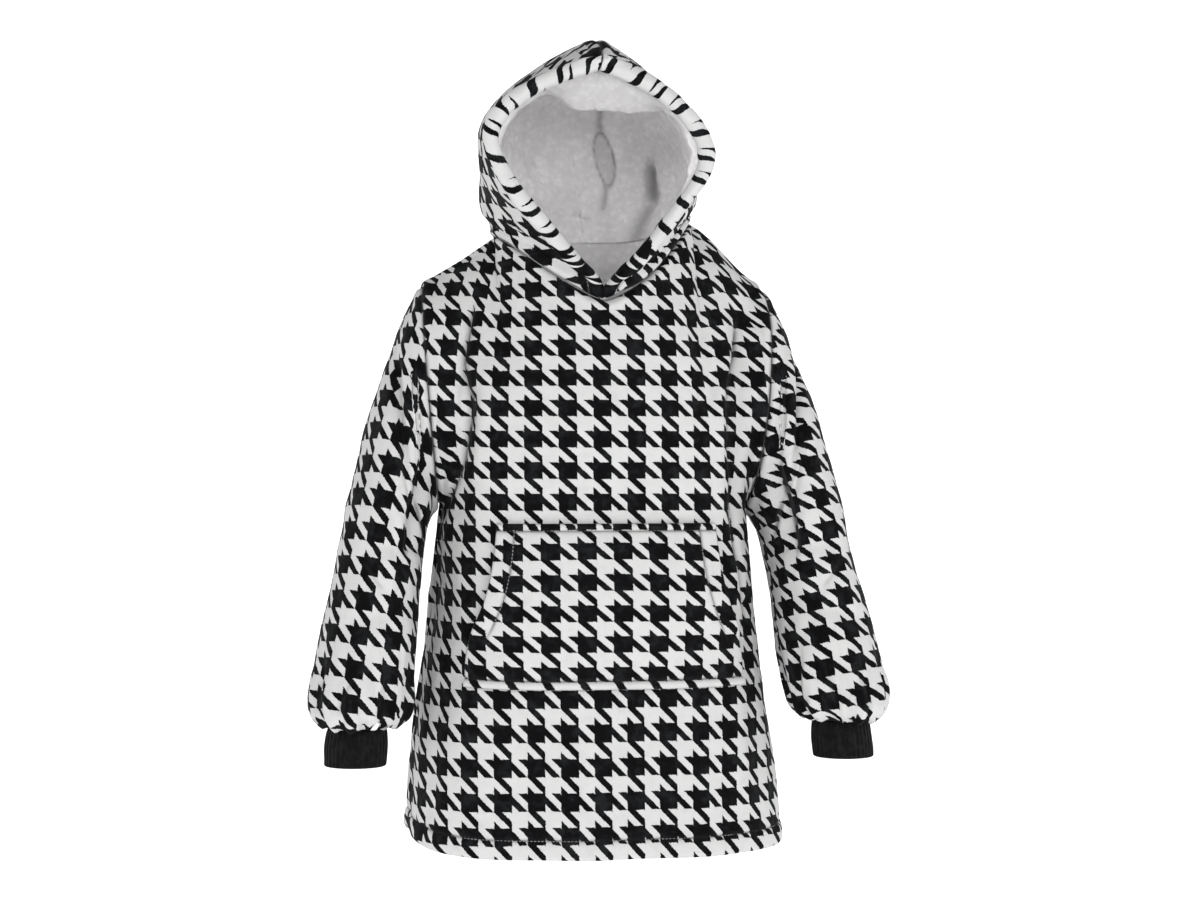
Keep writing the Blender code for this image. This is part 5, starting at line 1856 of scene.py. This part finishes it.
        # Painted shade that tones down the lit band under the peak.
        lit = smooth_step((-0.055 - y) / 0.03) * smooth_step((z - 0.13) / 0.05)
        hollow_shade = np.maximum(hollow_shade, 0.62 * lit)
        least = 0.0012 + 0.0010 * edge
        lower = (1.0 - smooth_step(climb / 0.014)) * smooth_step((points[..., 1] + 0.06) / 0.03)
        loft = LINING_WALL - 0.0021 * lower
        loft = np.maximum(loft + (proud - sink) * edge * smooth_step(climb / 0.03) + curls * (1.0 - lower), least)
        hung = self.as_hung(points, away, hand)
        hung[..., 2] -= sag
        by_seam = 0.0018 * (1.0 - smooth_step(climb / 0.016))
        outer = hung - normals * (HOOD_WALL / 2 + LINING_GAP + by_seam)[..., None]
        inner = outer - normals * loft[..., None]
        for grid in (outer, inner):
            grid[..., 2] -= 0.006 * lower
            grid[..., 0] = np.maximum(grid[..., 0], 0.0)
        grain = np.stack([hand.value * away, climb], -1)
        wall = ClothWall(f"hood_lining_{hand.word}_cloth", outer * hand.mirror, inner * hand.mirror, grain, crease_shade=hollow_shade)
        return wall.build(sherpa, sherpa)

    def rim_line(self, hand: Hand, body: BodyCloth) -> np.ndarray:
        """The stitch line behind the rolled rim of one half."""
        reaches = np.array([0.018, 0.0215, 0.025])
        points, away, normals = self.grid(220, reaches, body)
        line = (self.as_hung(points, away, hand) + normals * (HOOD_WALL / 2 - 0.0008))[6:-8, 1]
        return line * hand.mirror


@dataclass
class Stitching:
    """Runs of stitches along the sewn lines, by Geometry Nodes."""

    spacing: float = 0.0046
    length: float = 0.0034
    thickness: float = 0.0010
    seed: int = 5

    def tree(self) -> bpy.types.NodeTree:
        """The node tree that lays stitches along a piece's edges."""
        tree = bpy.data.node_groups.new("stitch_run", "GeometryNodeTree")
        face = tree.interface
        face.new_socket("Geometry", in_out="INPUT", socket_type="NodeSocketGeometry")
        for label in ("Spacing", "Length", "Thickness"):
            face.new_socket(label, in_out="INPUT", socket_type="NodeSocketFloat")
        face.new_socket("Seed", in_out="INPUT", socket_type="NodeSocketInt")
        face.new_socket("Material", in_out="INPUT", socket_type="NodeSocketMaterial")
        face.new_socket("Geometry", in_out="OUTPUT", socket_type="NodeSocketGeometry")
        graph = Graph(tree)
        given = graph.add("NodeGroupInput").outputs
        curve = graph.add("GeometryNodeMeshToCurve")
        graph.feed(curve.inputs["Mesh"], given["Geometry"])
        even = graph.add("GeometryNodeResampleCurve")
        even.mode = "LENGTH"
        graph.feed(even.inputs["Curve"], curve.outputs[0])
        graph.feed(even.inputs["Length"], given["Spacing"])
        bead = graph.add("GeometryNodeMeshUVSphere")
        bead.inputs["Segments"].default_value = 7
        bead.inputs["Rings"].default_value = 5
        bead.inputs["Radius"].default_value = 0.5
        tangent = graph.add("GeometryNodeInputTangent")
        wander = graph.add("FunctionNodeRandomValue", data_type="FLOAT_VECTOR")
        wander.inputs["Min"].default_value = (-0.12, -0.12, -0.12)
        wander.inputs["Max"].default_value = (0.12, 0.12, 0.12)
        graph.feed(wander.inputs["Seed"], given["Seed"])
        lean = graph.add("ShaderNodeVectorMath", operation="ADD")
        graph.feed(lean.inputs[0], tangent.outputs[0])
        graph.feed(lean.inputs[1], wander.outputs[0])
        turn = graph.add("FunctionNodeAlignRotationToVector", axis="X")
        graph.feed(turn.inputs["Vector"], lean.outputs[0])
        size = graph.add("ShaderNodeCombineXYZ")
        graph.feed(size.inputs[0], given["Length"])
        graph.feed(size.inputs[1], given["Thickness"])
        graph.feed(size.inputs[2], given["Thickness"])
        laid = graph.add("GeometryNodeInstanceOnPoints")
        graph.feed(laid.inputs["Points"], even.outputs[0])
        graph.feed(laid.inputs["Instance"], bead.outputs["Mesh"])
        graph.feed(laid.inputs["Rotation"], turn.outputs[0])
        graph.feed(laid.inputs["Scale"], size.outputs[0])
        real = graph.add("GeometryNodeRealizeInstances")
        graph.feed(real.inputs[0], laid.outputs[0])
        smooth = graph.add("GeometryNodeSetShadeSmooth")
        graph.feed(smooth.inputs[0], real.outputs[0])
        dress = graph.add("GeometryNodeSetMaterial")
        graph.feed(dress.inputs["Geometry"], smooth.outputs[0])
        graph.feed(dress.inputs["Material"], given["Material"])
        end = graph.add("NodeGroupOutput")
        graph.feed(end.inputs[0], dress.outputs[0])
        return tree

    def lay(self, name: str, lines: Sequence[np.ndarray], tree: bpy.types.NodeTree, thread: bpy.types.Material) -> bpy.types.Object:
        """Lays stitches along lines.

        Args:
            name: The piece's name.
            lines: The points of each line.
            tree: The stitch tree.
            thread: The thread's material.

        Returns:
            The stitches, as a plain mesh.
        """
        points: list = []
        edges: list = []
        for line in lines:
            first = len(points)
            points += as_worn(np.asarray(line)).tolist()
            edges += [(first + step, first + step + 1) for step in range(len(line) - 1)]
        path = bpy.data.meshes.new(name + "_path")
        path.from_pydata(points, edges, [])
        guide = bpy.data.objects.new(name + "_path", path)
        bpy.context.scene.collection.objects.link(guide)
        modifier = guide.modifiers.new("stitches", "NODES")
        modifier.node_group = tree
        values = {
            "Spacing": self.spacing,
            "Length": self.length,
            "Thickness": self.thickness,
            "Seed": self.seed,
            "Material": thread,
        }
        for item in tree.interface.items_tree:
            if item.in_out == "INPUT" and item.name in values:
                modifier[item.identifier] = values[item.name]
        guide.update_tag()
        graph = bpy.context.evaluated_depsgraph_get()
        mesh = bpy.data.meshes.new_from_object(guide.evaluated_get(graph), depsgraph=graph)
        mesh.name = name
        bpy.data.objects.remove(guide, do_unlink=True)
        if not mesh.materials:
            mesh.materials.append(thread)
        made = bpy.data.objects.new(name, mesh)
        bpy.context.scene.collection.objects.link(made)
        return made


@dataclass
class Studio:
    """The pale floor and sweep, the soft lights and the camera."""

    azimuth: float = -9.0
    distance: float = 3.2
    eye_z: float = -0.266
    aim_right: float = 0.011
    focal_pixels: float = 2461.5
    picture_width: float = 1200.0
    sensor: float = 36.0
    floor_z: float = -1.15

    def camera(self) -> bpy.types.Object:
        """The camera at the photo's angle."""
        angle = math.radians(self.azimuth)
        forward = Vector((-math.sin(angle), math.cos(angle), 0.0))
        right = Vector((math.cos(angle), math.sin(angle), 0.0))
        data = bpy.data.cameras.new("photo_camera")
        data.sensor_width = self.sensor
        data.lens = self.focal_pixels / self.picture_width * self.sensor
        camera = bpy.data.objects.new("photo_camera", data)
        camera.location = -forward * self.distance + right * self.aim_right + Vector((0.0, 0.0, self.eye_z))
        camera.rotation_euler = forward.to_track_quat("-Z", "Y").to_euler()
        bpy.context.scene.collection.objects.link(camera)
        bpy.context.scene.camera = camera
        return camera

    def floor(self, paper: bpy.types.Material) -> bpy.types.Object:
        """A round floor with its edge swept up."""
        profile = [(0.0, 0.0), (3.0, 0.0)]
        for step in range(1, 13):
            angle = math.radians(step * 7.5)
            profile.append((3.0 + 2.2 * math.sin(angle), 2.2 * (1.0 - math.cos(angle))))
        profile.append((5.2, 3.0))
        sides = 96
        points = [(0.0, 0.0, self.floor_z)]
        for radius, rise in profile[1:]:
            for side in range(sides):
                angle = math.tau * side / sides
                points.append((radius * math.cos(angle), radius * math.sin(angle), self.floor_z + rise))
        faces = [(0, 1 + side, 1 + (side + 1) % sides) for side in range(sides)]
        for ring in range(len(profile) - 2):
            for side in range(sides):
                a = 1 + ring * sides + side
                b = 1 + ring * sides + (side + 1) % sides
                faces.append((a, a + sides, b + sides, b))
        mesh = bpy.data.meshes.new("studio_floor")
        mesh.from_pydata(points, [], faces)
        mesh.shade_smooth()
        mesh.materials.append(paper)
        floor = bpy.data.objects.new("studio_floor", mesh)
        bpy.context.scene.collection.objects.link(floor)
        return floor

    def light(self, name: str, place: Sequence[float], size: float, power: float) -> bpy.types.Object:
        """A square soft light aimed at the garment's middle."""
        data = bpy.data.lights.new(name, "AREA")
        data.shape = "SQUARE"
        data.size = size
        data.energy = power
        lamp = bpy.data.objects.new(name, data)
        lamp.location = place
        aim = Vector((0.0, 0.0, -0.22)) - Vector(place)
        lamp.rotation_euler = aim.to_track_quat("-Z", "Y").to_euler()
        bpy.context.scene.collection.objects.link(lamp)
        return lamp

    def build(self, paper: bpy.types.Material) -> None:
        """Sets the stage: camera, floor, lights and surround."""
        self.camera()
        self.floor(paper)
        self.light("key", (-1.8, -2.6, 1.1), 1.0, 21.0)
        self.light("fill", (0.7, -3.3, 0.30), 1.2, 24.0)
        self.light("side", (2.7, -0.9, 0.7), 1.2, 11.0)
        self.light("top", (0.1, -0.3, 2.4), 1.6, 5.0)
        self.light("back_left", (-2.4, 2.6, 1.2), 1.8, 16.0)
        self.light("back_right", (2.4, 2.6, 1.2), 1.8, 16.0)
        world = bpy.data.worlds.new("studio")
        world.use_nodes = True
        surround = world.node_tree.nodes["Background"]
        surround.inputs["Color"].default_value = (1.0, 1.0, 1.0, 1.0)
        surround.inputs["Strength"].default_value = 0.12
        bpy.context.scene.world = world
        bpy.context.scene.view_settings.view_transform = "Standard"


def main() -> None:
    """Builds the garment's pieces in order, then the studio."""
    logging.basicConfig(level=logging.INFO, format="%(message)s", stream=sys.stdout)
    pile = pile_group()
    fleece = HoundstoothFleece("houndstooth_fleece", roughness=0.85, sheen=0.02, specular=0.05).build(houndstooth_group(), pile)
    sherpa = SherpaPile("sherpa_pile", roughness=0.95, sheen=0.3).build(pile)
    knit = RibKnit("rib_knit_yarn", roughness=0.8, sheen=0.03, specular=0.08).build(pile)
    thread = SewingThread("sewing_thread", roughness=0.6, sheen=0.1).build()
    body = BodyCloth()
    front = body.panel(Side.FRONT, fleece, sherpa)
    seat(front, "front_panel")
    back = body.panel(Side.BACK, fleece, sherpa)
    seat(back, "back_panel")
    pocket = PocketCloth()
    pouch = pocket.build(body, fleece, sherpa)
    seat(pouch, "pocket")
    hood = HoodCloth()
    rims = []
    for hand in Hand:
        word = hand.word
        sleeve = SleeveCloth().build(hand, fleece, sherpa)
        seat(sleeve, "sleeve_" + word)
        cuff = CuffKnit().build(hand, knit)
        seat(cuff, "cuff_" + word)
        half = hood.half(hand, body, fleece, sherpa)
        seat(half, "hood_" + word)
        lining = hood.lining(hand, body, sherpa)
        seat(lining, "hood_lining_" + word)
        rims.append(hood.rim_line(hand, body))
    stitching = Stitching()
    tree = stitching.tree()
    hem = stitching.lay("hem_stitches", [body.hem_line(side) for side in Side], tree, thread)
    pouch_stitches = stitching.lay("pocket_stitches", pocket.stitch_lines(body), tree, thread)
    rim_stitches = stitching.lay("rim_stitches", rims, tree, thread)
    for piece in (hem, pouch_stitches, rim_stitches):
        seat(piece)
    Studio().build(StudioPaper("studio_paper", roughness=0.9, sheen=0.0).build())


if __name__ == "__main__":
    main()
